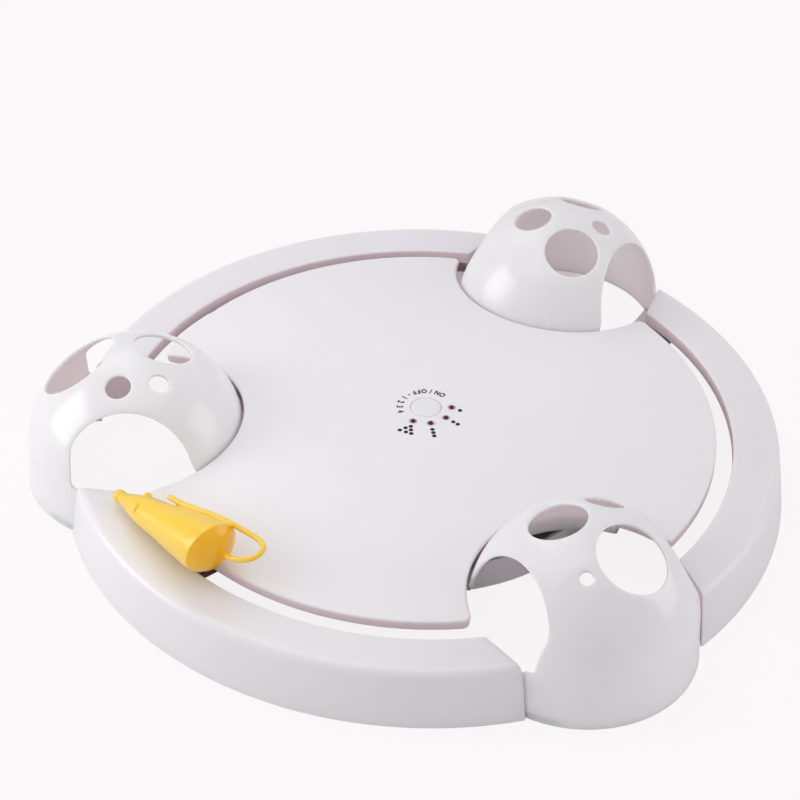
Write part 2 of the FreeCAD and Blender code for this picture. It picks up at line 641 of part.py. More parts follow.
def build_ring():
    outer_top = ("ring_top_radius", "ring_top")
    channel = revolved("RingChannel", [
        ("ring_inner", "ring_top - ring_lip"),
        ("ring_inner", "ring_top"),
        outer_top,
        ("ring_floor_radius", "0"),
        ("ring_floor_radius - ring_skin", "0"),
        ("ring_top_radius - ring_skin", "ring_top - ring_round"),
        ("ring_top_radius - ring_round", "ring_top - ring_skin"),
        ("ring_inner + ring_skin", "ring_top - ring_skin"),
        ("ring_inner + ring_skin", "ring_top - ring_lip"),
    ])
    rounded(channel, "ring_round", circle_at(*outer_top))
    rounded(channel, "ring_lip_round", circle_at("ring_inner", "ring_top"))
    filling = revolved("RingFilling", [
        ("ring_inner + 0.5", "ring_end_bottom"),
        ("ring_inner + 0.5", "ring_top - 1"),
        ("ring_top_radius - ring_round", "ring_top - 1"),
        ("ring_top_radius - 1", "ring_top - ring_round"),
        ("ring_floor_radius - 1.4", "ring_end_bottom"),
    ])
    for number, bearing in enumerate(DOME_BEARINGS):
        after = DOME_BEARINGS[(number + 2) % 3] + 360
        blocks = []
        walls = []
        for middle, side in ((bearing, 1), (after, -1)):
            start = polar(size.dome_orbit, middle) + polar(side * size.ring_end_inner, middle + 90)
            turn = middle - side * size.ring_end_slant
            for wanted, width, way in ((blocks, str(3 * OVER), -side), (walls, "ring_end_wall", side)):
                shape = box(str(4 * OVER), width, "ring_top + 5", y="%d * (%s) / 2" % (way, width), z="-1")
                wanted.append(placed(shape, start, turn))
        keep = cut(channel, *blocks)
        ends = cut(common(filling, group(*walls)), *blocks)
        near = [p for p in foot_screw_points() if keep_point(p, bearing, after)]
        bosses = [placed(cylinder("dome_boss_radius", "ring_top - 1 - foot_tab_bottom - foot_tab_skin",
                                  "foot_tab_bottom + foot_tab_skin"), point) for point in near]
        holes = [placed(cylinder("screw_radius", "10", "foot_tab_bottom"), point) for point in near]
        sub_part(cut(fuse(keep, ends, *bosses), *holes), "ring_segment_%d" % (number + 1))


def keep_point(point, first, last):
    """Whether a point's bearing lies between two bearings, counted anticlockwise."""
    bearing = math.degrees(math.atan2(point.y, point.x))
    return (bearing - first) % 360 < (last - first) % 360


# ---------------------------------------------------------------- tunnel domes

def hemisphere(radius):
    """Upper half of a ball whose flat side is at the dome's spring height."""
    thing = doc.addObject("Part::Sphere", "Hemisphere")
    thing.Angle1 = 0
    return bind(thing, Radius=radius, Base_z="dome_spring")


def arch_tool():
    """What is cut away along the track: a vault whose outer leg is upright and whose inner leg leans."""
    length = "4 * dome_radius"
    vault = doc.addObject("Part::Cylinder", "Vault")
    bind(vault, Radius="arch_radius", Height=length)
    vault.Placement = FreeCAD.Placement(ORIGIN, FreeCAD.Rotation(FreeCAD.Vector(1, 0, 0), -90))
    bind(vault, Base_x="arch_offset", Base_y="-2 * dome_radius", Base_z="arch_spring")
    limit = box("dome_radius + arch_outer", "5 * dome_radius", "dome_radius * 2",
                x="(arch_outer - dome_radius) / 2")
    sides = padded("ArchSides", [
        ("0 - arch_inner", "0 - 1"), ("arch_outer", "0 - 1"), ("arch_outer", "arch_shoulder_height"),
        ("0 - arch_shoulder", "arch_shoulder_height"), ("0 - arch_inner", "arch_flare"),
    ], length, "0 - 2 * dome_radius")
    upright = group(sides)
    upright.Placement = FreeCAD.Placement(ORIGIN, FreeCAD.Rotation(FreeCAD.Vector(1, 0, 0), 90))
    return fuse(common(vault, limit), upright)


def build_domes():
    outside = fuse(hemisphere("dome_radius"), cone("dome_floor_radius", "dome_radius", "dome_spring"))
    inside = fuse(hemisphere("dome_radius - dome_wall"),
                  cone("dome_floor_radius - dome_wall", "dome_radius - dome_wall", "dome_spring"))
    inner_side = box("dome_radius", "4 * dome_radius", "dome_inner_bottom + 1",
                     x="-arch_inner - dome_radius / 2 + 2", z="-1")
    shell = cut(outside, fuse(inside, arch_tool()), inner_side)
    strip = tube("flange_outer", "dome_radius - dome_wall", "rim_bottom - dome_inner_bottom",
                 "dome_inner_bottom")
    inward = box("dome_radius", "4 * dome_radius", "2 * dome_radius", x="-arch_inner - dome_radius / 2")
    flange = common(strip, inward)
    height = "dome_inner_bottom - tongue_bottom"
    tongues = common(tube("tongue_radius", "tongue_radius - tongue_skin", height, "tongue_bottom"),
                     box("arch_outer + 2 - tongue_start", "4 * dome_radius", "2 * dome_radius",
                         x="(arch_outer + 2 + tongue_start) / 2"))
    tabs = []
    for side in (-1, 1):
        length = "dome_tab_outer - dome_tab_inner"
        tab = box(length, "dome_tab_width", "rim_bottom - dome_inner_bottom",
                  x="(dome_tab_outer + dome_tab_inner) / 2", z="dome_inner_bottom")
        hole = cylinder("screw_radius + screw_clearance", "rim_bottom", "dome_inner_bottom / 2")
        bind(hole, Base_x="dome_screw_orbit")
        tabs.append(placed(cut(tab, hole), ORIGIN, 180 + side * size.dome_tab_angle))
        plate = box("dome_radius - foot_tab_inner", "foot_tab_far - foot_tab_near", "foot_tab_skin",
                    x="(dome_radius + foot_tab_inner) / 2",
                    y="%d * (foot_tab_far + foot_tab_near) / 2" % side, z="foot_tab_bottom")
        notch = box("2 * (foot_tab_narrow - foot_tab_inner)", "2 * (foot_tab_step - foot_tab_near)",
                    "foot_tab_skin + 2", x="foot_tab_inner", y="%d * foot_tab_near" % side,
                    z="foot_tab_bottom - 1")
        disc = cylinder("dome_floor_radius - dome_wall / 2", "foot_tab_skin + 2", "foot_tab_bottom - 1")
        ring = cylinder("ring_floor_radius - ring_skin - 0.7", "foot_tab_skin + 2", "foot_tab_bottom - 1")
        bind(ring, Base_x="-dome_orbit")
        reach = fuse(disc, cut(ring, box("dome_orbit * 2", "dome_orbit * 4", "foot_tab_skin + 4",
                                         x="foot_tab_inner - dome_orbit")))
        hole = cylinder("screw_radius + screw_clearance", "foot_tab_skin + 2", "foot_tab_bottom - 1")
        bind(hole, Base_x="foot_screw_out", Base_y="%d * foot_screw_along" % side)
        tabs.append(cut(common(plate, reach), notch, hole))
    whole = fuse(shell, flange, tongues, *tabs)
    for number, bearing in enumerate(DOME_BEARINGS):
        drills = []
        for direction, elevation, radius in DOME_HOLES[number]:
            drill = doc.addObject("Part::Cylinder", "PlayHole")
            drill.Radius = radius
            bind(drill, Height="dome_radius + 10")
            aim = polar(math.cos(math.radians(elevation)), direction, math.sin(math.radians(elevation)))
            drill.Placement = FreeCAD.Placement(ORIGIN, FreeCAD.Rotation(UP, aim))
            bind(drill, Base_z="dome_spring")
            drills.append(drill)
        dome = cut(whole, *drills)
        sub_part(on_circle(dome, "dome_orbit", bearing), "tunnel_dome_%d" % (number + 1))


# ---------------------------------------------------------------- base and battery bay

def build_base():
    floor = BASE_FLOOR
    tub = revolved("BaseTub", [
        ("0", "base_bottom"), ("base_radius - 1", "base_bottom"), ("base_radius", "base_bottom + 1"),
        ("base_radius", "base_wall_top"), ("base_radius - base_wall", "base_wall_top"),
        ("base_radius - base_wall", floor), ("rail_outer", floor), ("rail_outer", "rail_top"),
        ("rail_inner", "rail_top"), ("rail_inner", floor), ("0", floor),
    ])
    bay_y = "0 - cell_middle_back"
    bay = box("bay_length + 2 * bay_wall", "bay_width + 2 * bay_wall", "bay_top - base_bottom",
              y=bay_y, z="base_bottom")
    room = box("bay_length", "bay_width", "2 * bay_top", y=bay_y, z="base_bottom - 5")
    adds = [bay]
    for bearing in LONG_BOSS_BEARINGS:
        boss = cylinder("long_boss_radius", "long_boss_split - base_bottom", "base_bottom")
        adds.append(on_circle(boss, "long_boss_orbit", bearing))
    for x, y in PLATE_POSTS:
        post = cylinder("mount_post_radius", "plate_bottom - base_bottom", "base_bottom")
        adds.append(placed(post, FreeCAD.Vector(x, y, 0)))
    for point in bracket_points("bracket_screw_half"):
        post = cylinder("mount_post_radius", "bracket_bottom - base_bottom", "base_bottom")
        adds.append(placed(post, point))
    for spot, lowest in ((drive_spot, "drive_wheel_bottom"), (step_spot, "step_wheel_bottom")):
        boss = cylinder("gear_boss_radius", lowest + " - 0.3 - base_bottom", "base_bottom")
        adds.append(placed(boss, spot))
    ear_boss = cylinder("door_ear_radius - 1", "8", "base_bottom + 2")
    adds.append(bind(ear_boss, Base_x="door_ear_out", Base_y=bay_y))
    cuts = [room]
    ear = cylinder("door_ear_radius + door_gap", "door_skin + 1", "base_bottom - 1")
    cuts.append(bind(ear, Base_x="door_ear_out", Base_y=bay_y))
    cuts.append(box("door_ear_out - bay_length / 2 + 2", "2 * (door_ear_radius + door_gap)", "door_skin + 1",
                    x="(door_ear_out + bay_length / 2 - 2) / 2", y=bay_y, z="base_bottom - 1"))
    pilot = cylinder("screw_radius", "8", "base_bottom")
    cuts.append(bind(pilot, Base_x="door_ear_out", Base_y=bay_y))
    for side in (-1, 1):
        notch = box("bay_wall * 2 + 2", "door_tongue_width + 2 * door_gap", "door_tongue_skin + 2 * door_gap",
                    x="-bay_length / 2", y="%s + %d * cell_pitch / 2" % (bay_y, side),
                    z=floor + " - door_gap")
        cuts.append(notch)
    for bearing in LONG_BOSS_BEARINGS:
        well = cylinder("screw_head_radius + head_clearance", "cover_screw_seat - base_bottom + 1",
                        "base_bottom - 1")
        cuts.append(on_circle(well, "long_boss_orbit", bearing))
        shank = cylinder("screw_radius + screw_clearance", "long_boss_split", "base_bottom")
        cuts.append(on_circle(shank, "long_boss_orbit", bearing))
    for x, y in PLATE_POSTS:
        hole = cylinder("screw_radius", "10", "plate_bottom - 8")
        cuts.append(placed(hole, FreeCAD.Vector(x, y, 0)))
    for point in bracket_points("bracket_screw_half"):
        cuts.append(placed(cylinder("screw_radius", "8", "bracket_bottom - 6"), point))
    for spot in (drive_spot, step_spot):
        cuts.append(placed(cylinder("axle_radius", "20", "axle_bottom"), spot))
    for bearing in PAD_BEARINGS:
        slot = box("4 * rail_outer - 4 * rail_inner", "pad_width", "pad_depth + 1",
                   x="(rail_outer + rail_inner) / 2",
                   z="pad_top - pad_depth")
        cuts.append(placed(slot, ORIGIN, bearing))
    foot = cylinder("foot_radius", "foot_recess + 1", "base_bottom - 1")
    cuts.append(foot)
    for bearing in FOOT_BEARINGS:
        foot = cylinder("foot_radius", "foot_recess + 1", "base_bottom - 1")
        cuts.append(on_circle(foot, "foot_orbit", bearing))
    sub_part(cut(fuse(tub, *adds), *cuts), "base_housing")

    feet = [cylinder("foot_radius", "foot_height")]
    for bearing in FOOT_BEARINGS:
        feet.append(on_circle(cylinder("foot_radius", "foot_height"), "foot_orbit", bearing))
    sub_part(group(*feet), "rubber_feet")

    pads = []
    for bearing in PAD_BEARINGS:
        block = box("2 * rail_outer - 2 * rail_inner", "pad_width", "pad_depth",
                    x="(rail_outer + rail_inner) / 2",
                    z="pad_top - pad_depth")
        pads.append(common(tube("rail_outer", "rail_inner", "pad_top"), placed(block, ORIGIN, bearing)))
    sub_part(group(*pads), "glide_pads")

    screws = []
    for bearing in LONG_BOSS_BEARINGS:
        point = polar(size.long_boss_orbit, bearing)
        screws.append(large_screw(point, size.cover_screw_seat, size.cover_screw_length))
    sub_part(solid(Part.makeCompound(screws)), "cover_screws")


def build_battery_bay():
    bay_y = "0 - cell_middle_back"
    plate = box("bay_length - 2 * door_gap", "bay_width - 2 * door_gap", "door_skin", y=bay_y,
                z="base_bottom")
    ear = bind(cylinder("door_ear_radius", "door_skin", "base_bottom"), Base_x="door_ear_out", Base_y=bay_y)
    neck = box("door_ear_out - bay_length / 2 + 2", "2 * door_ear_radius", "door_skin",
               x="(door_ear_out + bay_length / 2 - 2) / 2", y=bay_y, z="base_bottom")
    adds = [plate, ear, neck]
    for side in (-1, 1):
        along = "%s + %d * cell_pitch / 2" % (bay_y, side)
        tongue = box("6 + bay_wall / 2", "door_tongue_width", "door_tongue_skin",
                     x="3 - bay_length / 2 - bay_wall / 4", y=along, z=BASE_FLOOR)
        riser = box("4", "door_tongue_width", BASE_FLOOR + " + door_tongue_skin - base_bottom",
                    x="4 - bay_length / 2", y=along, z="base_bottom")
        adds += [tongue, riser]
    hole = bind(cylinder("screw_radius + screw_clearance", "10"), Base_x="door_ear_out", Base_y=bay_y)
    well = cylinder("screw_head_radius + head_clearance", "1.9", "base_bottom - 1")
    bind(well, Base_x="door_ear_out", Base_y=bay_y)
    sub_part(cut(fuse(*adds), hole, well), "battery_door")
    seat = size.base_bottom + 0.9
    point = FreeCAD.Vector(size.door_ear_out, -size.cell_middle_back, 0)
    sub_part(solid(large_screw(point, seat, 6.5)), "battery_door_screw")

    for number, row in enumerate((-1, 0, 1)):
        facing = -1 if row == 0 else 1
        can = cylinder("cell_radius", "cell_length", "-cell_length / 2")
        nub = cylinder("nub_radius", "nub_length", "cell_length / 2")
        cell = fuse(can, nub)
        cell.Placement = FreeCAD.Placement(ORIGIN, FreeCAD.Rotation(FreeCAD.Vector(0, 1, 0), facing * 90))
        bind(cell, Base_y="%s + %d * cell_pitch" % (bay_y, row), Base_z="cell_height")
        sub_part(cell, "battery_cell_%d" % (number + 1))

    for number, side in enumerate((-1, 1)):
        strip = box("strip_skin", "strip_width", "strip_height",
                    x="%d * (bay_length - strip_skin) / 2" % side,
                    y=bay_y, z="strip_bottom")
        bumps = []
        for row in (-1, 0, 1):
            touches_nub = (side == 1) != (row == 0)
            reach = "bay_length / 2 - strip_skin - cell_length / 2" + (" - nub_length" if touches_nub else "")
            bump = cone("2.6", "1.6", reach)
            bump.Placement = FreeCAD.Placement(ORIGIN, FreeCAD.Rotation(FreeCAD.Vector(0, 1, 0), -side * 90))
            bind(bump, Base_x="%d * (bay_length / 2 - strip_skin)" % side)
            bind(bump, Base_y="%s + %d * cell_pitch" % (bay_y, row), Base_z="cell_height")
            bumps.append(bump)
        sub_part(fuse(strip, *bumps), "contact_strip_%d" % (number + 1))


# ---------------------------------------------------------------- motor and gears

def bracket_points(half):
    """The two spots at half a distance either side of the motor, across the line to the step gear."""
    across = size.motor_bearing + 90
    return [motor_spot + polar(side * getattr(size, half), across) for side in (-1, 1)]


def build_drive():
    facing = size.motor_bearing
    can = common(cylinder("motor_radius", "motor_length", "motor_bottom"),
                 box("motor_across_flats", "3 * motor_radius", "motor_length", z="motor_bottom"))
    nub = cylinder("motor_nub_radius", "motor_nub", "motor_bottom + motor_length")
    tags = [box("0.5", "2.4", "3.2", y="%d * 7" % side,
                z="motor_bottom + motor_length - 0.2") for side in (-1, 1)]
    bore = cylinder("axle_radius + axle_clearance", "shaft_depth + 1", "motor_bottom - 1")
    drills = [bore]
    for side in (-1, 1):
        drill = cylinder("small_screw_radius", "3", "motor_bottom - 1")
        drills.append(bind(drill, Base_y="%d * motor_screw_half" % side))
    sub_part(placed(cut(fuse(can, nub, *tags), *drills), motor_spot, facing), "motor")
    shaft = cylinder("axle_radius", "motor_bottom + shaft_depth - 0.3 - shaft_bottom", "shaft_bottom")
    sub_part(placed(shaft, motor_spot), "motor_shaft")

    bar = box("bracket_width", "bracket_length", "bracket_skin", z="bracket_bottom")
    drills = [cylinder("2.2", "5", "bracket_bottom - 1")]
    for side in (-1, 1):
        for half, radius in (("bracket_screw_half", "screw_radius + screw_clearance"),
                             ("motor_screw_half", "small_screw_radius + 0.2")):
            drill = cylinder(radius, "5", "bracket_bottom - 1")
            drills.append(bind(drill, Base_y="%d * %s" % (side, half)))
    room = cylinder("5.6", "6", "bracket_bottom - 1")
    drills.append(bind(room, Base_x="-(step_big_teeth + motor_teeth) * step_module / 2"))
    sub_part(placed(cut(bar, *drills), motor_spot, facing), "motor_bracket")
    screws = [screw_down(point, size.bracket_bottom + size.bracket_skin, 5.5, size.screw_radius,
                         size.screw_head_radius,
                         size.screw_head) for point in bracket_points("bracket_screw_half")]
    sub_part(solid(Part.makeCompound(screws)), "bracket_screws")
    screws = [screw(point, size.bracket_bottom, size.bracket_skin + 1.8, size.small_screw_radius,
                    size.small_screw_head_radius,
                    size.small_screw_head) for point in bracket_points("motor_screw_half")]
    sub_part(solid(Part.makeCompound(screws)), "motor_screws")

    # Each wheel is turned so that a tooth of one stands in a gap of the next.
    bore = size.axle_radius + size.axle_clearance
    drive_turn = size.drive_bearing + 180 / size.drive_small_teeth
    drive_big_turn = size.step_bearing
    step_small_turn = size.step_bearing + 180 + 180 / size.step_small_teeth
    step_big_turn = size.motor_bearing
    motor_turn = size.motor_bearing + 180 + 180 / size.motor_teeth
    top = size.drive_pinion_top
    drive = wheel(size.drive_big_teeth, size.drive_module, size.drive_wheel_bottom, size.drive_wheel_top,
                  drive_big_turn)
    drive = drive.fuse(wheel(size.drive_small_teeth, size.ring_module, size.drive_wheel_top, top, drive_turn))
    drive = drive.cut(Part.makeCylinder(bore, top, ORIGIN))
    sub_part(placed(solid(drive), drive_spot), "drive_gear")
    top = size.drive_wheel_top
    step = wheel(size.step_big_teeth, size.step_module, size.step_wheel_bottom, size.step_wheel_top,
                 step_big_turn)
    step = step.fuse(wheel(size.step_small_teeth, size.drive_module, size.step_wheel_top, top,
                           step_small_turn))
    step = step.cut(Part.makeCylinder(bore, top, ORIGIN))
    sub_part(placed(solid(step), step_spot), "step_gear")
    pinion = wheel(size.motor_teeth, size.step_module, size.step_wheel_bottom + 0.1,
                   size.step_wheel_top - 0.1, motor_turn)
    pinion = pinion.cut(Part.makeCylinder(size.axle_radius, top, ORIGIN))
    sub_part(placed(solid(pinion), motor_spot), "motor_pinion")

    plate_top = "plate_bottom + plate_skin"
    axle = cylinder("axle_radius", plate_top + " - axle_bottom", "axle_bottom")
    sub_part(placed(axle, drive_spot), "drive_axle")
    axle = cylinder("axle_radius", plate_top + " - axle_bottom", "axle_bottom")
    sub_part(placed(axle, step_spot), "step_axle")

    outline = [(str(x), str(y)) for x, y in PLATE_OUTLINE]
    plate = padded("GearPlate", [signed(pair) for pair in outline], "plate_skin", "plate_bottom")
    sleeves = [placed(cylinder("gear_boss_radius", "plate_bottom + 0.5 - drive_wheel_top - 0.4",
                               "drive_wheel_top + 0.4"), step_spot),
               placed(cylinder("gear_boss_radius", "1", "drive_pinion_top + 0.3"), drive_spot)]
    nest = common(cylinder("motor_radius", "9", "plate_bottom - 4"),
                  box("motor_across_flats", "3 * motor_radius", "9", z="plate_bottom - 4"))
    drills = [placed(nest, motor_spot, facing)]
    for spot in (drive_spot, step_spot):
        drills.append(placed(cylinder("axle_radius", "30", "axle_bottom"), spot))
    for x, y in PLATE_POSTS:
        drills.append(placed(cylinder("screw_radius + screw_clearance", "9", "plate_bottom - 4"),
                             FreeCAD.Vector(x, y, 0)))
    sub_part(cut(fuse(plate, *sleeves), *drills), "gear_plate")
    screws = [screw_down(FreeCAD.Vector(x, y, 0), size.plate_bottom + size.plate_skin, 8, size.screw_radius,
                         size.screw_head_radius, size.screw_head) for x, y in PLATE_POSTS]
    sub_part(solid(Part.makeCompound(screws)), "gear_plate_screws")


def signed(pair):
    """Rewrite a negative number as a subtraction, which a formula can hold."""
    return tuple("0 - " + text[1:] if text.startswith("-") else text for text in pair)


# ---------------------------------------------------------------- rotor and arm

def build_rotor():
    teeth = wheel(size.ring_teeth, size.ring_module, size.ring_gear_bottom - 1, 40, size.drive_bearing,
                  inside=True)
    band = cylinder("ring_gear_back", "rotor_bottom + rotor_skin - ring_gear_bottom", "ring_gear_bottom")
    disc = cylinder("rotor_radius", "rotor_skin", "rotor_bottom")
    collar = tube("collar_inner + collar_wall", "collar_inner", "rotor_bottom + 0.5 - collar_bottom",
                  "collar_bottom")
    holes = []
    for point in arm_points():
        holes.append(placed(cylinder("screw_radius + screw_clearance", "9", "rotor_bottom - 3"), point))
    rotor = cut(fuse(band, disc, collar), solid(teeth), *holes)
    sub_part(rotor, "rotor")

    tip = "track_radius"
    arm = padded("ArmBar", [("stay_inner + 2", "0 - arm_root_half"), (tip, "0 - arm_tip_half + 1.2"),
                            (tip, "arm_tip_half - 1.2"), ("stay_inner + 2", "arm_root_half")],
                 "rotor_bottom + rotor_skin - arm_bottom", "arm_bottom")
    boss = cylinder("arm_boss_radius", "arm_boss_top - arm_bottom", "arm_bottom")
    bind(boss, Base_x=tip)
    socket = cylinder("rotor_radius + 0.3", "rotor_skin + 3", "rotor_bottom")
    adds = [cut(arm, socket), boss]
    hole = bind(cylinder("post_radius", "20", "arm_bottom - 2"), Base_x=tip)
    cuts = [hole]
    for side in (-1, 1):
        lug = cylinder("arm_screw_boss", "rotor_bottom - arm_screw_bottom", "arm_screw_bottom")
        adds.append(bind(lug, Base_x="arm_screw_orbit", Base_y="%d * arm_screw_half" % side))
        drill = cylinder("screw_radius", "9", "arm_screw_bottom + 1")
        cuts.append(bind(drill, Base_x="arm_screw_orbit", Base_y="%d * arm_screw_half" % side))
    sub_part(placed(cut(fuse(*adds), *cuts), ORIGIN, size.mouse_bearing), "mouse_arm")
    seat = size.rotor_bottom + size.rotor_skin
    screws = [screw_down(point, seat, 6, size.screw_radius, size.screw_head_radius, size.screw_head)
              for point in arm_points()]
    sub_part(solid(Part.makeCompound(screws)), "arm_screws")

    pin = cylinder("post_radius", "post_top - arm_bottom", "arm_bottom")
    flange = cylinder("post_flange_radius", "post_flange_top - post_flange_bottom", "post_flange_bottom")
    sub_part(on_circle(fuse(pin, flange), "track_radius", size.mouse_bearing), "mouse_post")


def arm_points():
    """Where the arm is screwed to the rotor."""
    middle = polar(size.arm_screw_orbit, size.mouse_bearing)
    return [middle + polar(side * size.arm_screw_half, size.mouse_bearing + 90) for side in (-1, 1)]


# ---------------------------------------------------------------- mouse

def build_mouse():
    nose = polar(size.mouse_nose_out, size.mouse_nose_bearing, size.mouse_nose_height)
    rump = polar(size.mouse_rump_out, size.mouse_rump_bearing, size.mouse_rump_height)
    back = (rump - nose).normalize()
    start = nose - back * size.nose_setback
    inward = UP.cross(back).normalize()
    top = back.cross(inward)
    whole = (rump - start).Length

    def facing(along):
        """Direction that a cross section faces, which leans more toward the rump."""
        share = max(0.0, (along - size.mouse_lean_start) / (whole - size.mouse_lean_start))
        lean = math.radians(size.mouse_lean * share)
        turn = math.radians(size.mouse_turn * share)
        level = back * math.cos(turn) + inward * math.sin(turn)
        return level * math.cos(lean) - top * math.sin(lean)

    sections = []
    for along, radius in MOUSE_SECTIONS:
        circle = Part.Circle(start + back * along, facing(along), radius)
        sections.append(Part.Wire([circle.toShape()]))
    body = Part.makeLoft(sections, True, False)
    body = body.fuse(Part.makeSphere(size.nose_radius, nose))
    curve = Part.BSplineCurve()
    curve.interpolate([FreeCAD.Vector(radius, 0, along) for along, radius in MOUSE_REAR])
    corners = [FreeCAD.Vector(0, 0, MOUSE_REAR[-1][0]), FreeCAD.Vector(0, 0, -1),
               FreeCAD.Vector(MOUSE_REAR[0][1] - 1, 0, -1), FreeCAD.Vector(MOUSE_REAR[0][1], 0, 0)]
    sides = [Part.LineSegment(one, two).toShape() for one, two in zip(corners, corners[1:])]
    rear = Part.Face(Part.Wire([curve.toShape()] + sides)).revolve(ORIGIN, UP, 360)
    rear.Placement = FreeCAD.Placement(rump, FreeCAD.Rotation(UP, facing(whole)))
    body = body.fuse(rear)
    for side in (-1, 1):
        lean = math.radians(size.ear_spread)
        away = top * math.cos(lean) + inward * side * math.sin(lean)
        spot = start + back * size.ear_along + away * size.ear_out
        body = body.fuse(Part.makeSphere(size.ear_radius, spot))
    post = polar(size.track_radius, size.mouse_bearing)
    saddle_low = FreeCAD.Vector(post.x, post.y, size.post_flange_top)
    body = body.fuse(Part.makeCylinder(size.mouse_saddle_radius, 8, saddle_low))
    body = body.cut(Part.makeCylinder(size.post_radius, size.post_top - size.post_flange_top + 1,
                                      saddle_low - UP))
    line = []
    for along, away, lean in TAIL_LINE:
        angle = math.radians(lean)
        line.append(start + back * along + (inward * math.cos(angle) + top * math.sin(angle)) * away)
    curve = Part.BSplineCurve()
    curve.interpolate(line)
    path = Part.Wire([curve.toShape()])
    first = curve.tangent(curve.FirstParameter)[0]
    ring = Part.Wire([Part.Circle(line[0], first, size.tail_radius).toShape()])
    tail = path.makePipeShell([ring], True, True)
    tail = tail.fuse(Part.makeSphere(size.tail_radius, line[-1])).removeSplitter()
    tail = tail.cut(body)
    tail = Part.makeCompound([max(tail.Solids, key=lambda piece: piece.Volume)])
    sub_part(solid(body), "mouse_body")
    sub_part(solid(tail), "mouse_tail")


# ---------------------------------------------------------------- control panel

def build_panel():
    button = revolved("Button", [
        ("0", "button_bottom"), ("button_flange", "button_bottom"),
        ("button_flange", "button_bottom + button_flange_skin"),
        ("button_radius", "button_bottom + button_flange_skin"),
        ("button_radius", "button_top - 0.4"), ("0", "button_top"),
    ])
    rounded(button, "0.8", circle_at("button_radius", "button_top - 0.4"))
    sub_part(button, "power_button")

    board = cylinder("board_radius", "board_skin", "board_bottom")
    holes = [on_circle(cylinder("small_screw_radius + 0.2", "9", "board_bottom - 2"), "board_post_orbit",
                       bearing)
             for bearing in BOARD_POST_BEARINGS]
    sub_part(cut(board, *holes), "circuit_board")
    chip = box("chip_length", "chip_width", "chip_height", x="4", z="board_bottom - chip_height")
    sub_part(chip, "control_chip")
    screws = [screw(polar(size.board_post_orbit, bearing), size.board_bottom, size.board_screw_length,
                    size.small_screw_radius,
                    size.small_screw_head_radius, size.small_screw_head) for bearing in BOARD_POST_BEARINGS]
    sub_part(solid(Part.makeCompound(screws)), "board_screws")

    case = box("switch_width", "switch_width", "switch_top - board_bottom - board_skin", z=BOARD_TOP)
    sub_part(cut(case, cylinder("plunger_radius + 0.08", "9", "plunger_well")), "switch_body")
    sub_part(cylinder("plunger_radius", "button_bottom - plunger_bottom", "plunger_bottom"), "switch_plunger")

    for number in range(4):
        bearing = size.light_middle + (1.5 - number) * size.light_step
        stem = cylinder("light_radius", "light_shoulder - (%s)" % BOARD_TOP, BOARD_TOP)
        tip = doc.addObject("Part::Sphere", "LightTip")
        bind(tip, Radius="light_radius", Base_z="light_shoulder")
        sub_part(on_circle(fuse(stem, tip), "light_orbit", bearing), "light_%d" % (number + 1))


def build_joining_screws():
    screws = [large_screw(point, size.dome_inner_bottom, 6) for point in tab_screw_points()]
    sub_part(solid(Part.makeCompound(screws)), "platform_dome_screws")
    screws = []
    for point in foot_screw_points():
        screws.append(screw(point, size.foot_tab_bottom, 9.5, size.screw_radius, size.screw_head_radius,
                            size.foot_tab_bottom - 0.5))
    sub_part(solid(Part.makeCompound(screws)), "ring_screws")


def write_parts():
    doc.recompute()
    os.makedirs("parts", exist_ok=True)
    for thing in doc.Objects:
        if "Invalid" in thing.State or "Error" in thing.State:
            raise RuntimeError("%s (%s) failed: %s" % (thing.Name, thing.Label, thing.State))
        if hasattr(thing, "Shape") and thing.isDerivedFrom("Part::Feature") and thing.Shape.isNull():
            raise RuntimeError("%s (%s) is empty" % (thing.Name, thing.Label))
    for thing in nodes:
        shape = thing.Shape
        if shape.isNull() or not shape.isValid() or not shape.Solids:
            raise RuntimeError("%s has no valid solid" % thing.Label)
        shape.exportStep("parts/%s.step" % thing.Label)
        print("%-22s solids %d volume %.0f" % (thing.Label, len(shape.Solids), shape.Volume))


build_platform_cover()
build_ring()
build_domes()
build_base()
build_battery_bay()
build_drive()
build_rotor()
build_mouse()
build_panel()
build_joining_screws()
write_parts()
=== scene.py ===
import json
import math

import bmesh
import bpy
from mathutils import Matrix, Vector
from mathutils.geometry import delaunay_2d_cdt


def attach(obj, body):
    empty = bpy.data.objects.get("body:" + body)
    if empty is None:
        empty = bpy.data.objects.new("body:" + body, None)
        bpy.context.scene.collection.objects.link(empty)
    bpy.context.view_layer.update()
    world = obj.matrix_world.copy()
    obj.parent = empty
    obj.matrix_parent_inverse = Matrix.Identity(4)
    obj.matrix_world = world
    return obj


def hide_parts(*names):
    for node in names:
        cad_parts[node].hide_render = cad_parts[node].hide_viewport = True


# The looks of a motor-driven chase toy for cats: crowned platform, raised ring, three perforated
# tunnel domes and a rubber mouse that runs in the slot. Sizes below are in millimetres.

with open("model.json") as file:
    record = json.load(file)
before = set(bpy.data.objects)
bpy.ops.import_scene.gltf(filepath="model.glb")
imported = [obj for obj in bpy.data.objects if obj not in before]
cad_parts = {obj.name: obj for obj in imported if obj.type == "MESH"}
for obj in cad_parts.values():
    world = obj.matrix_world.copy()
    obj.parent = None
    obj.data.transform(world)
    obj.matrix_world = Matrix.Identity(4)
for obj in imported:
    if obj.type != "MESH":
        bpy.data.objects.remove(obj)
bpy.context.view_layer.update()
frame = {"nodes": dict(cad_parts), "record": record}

MM = 0.001

# ---------------------------------------------------------------- sizes

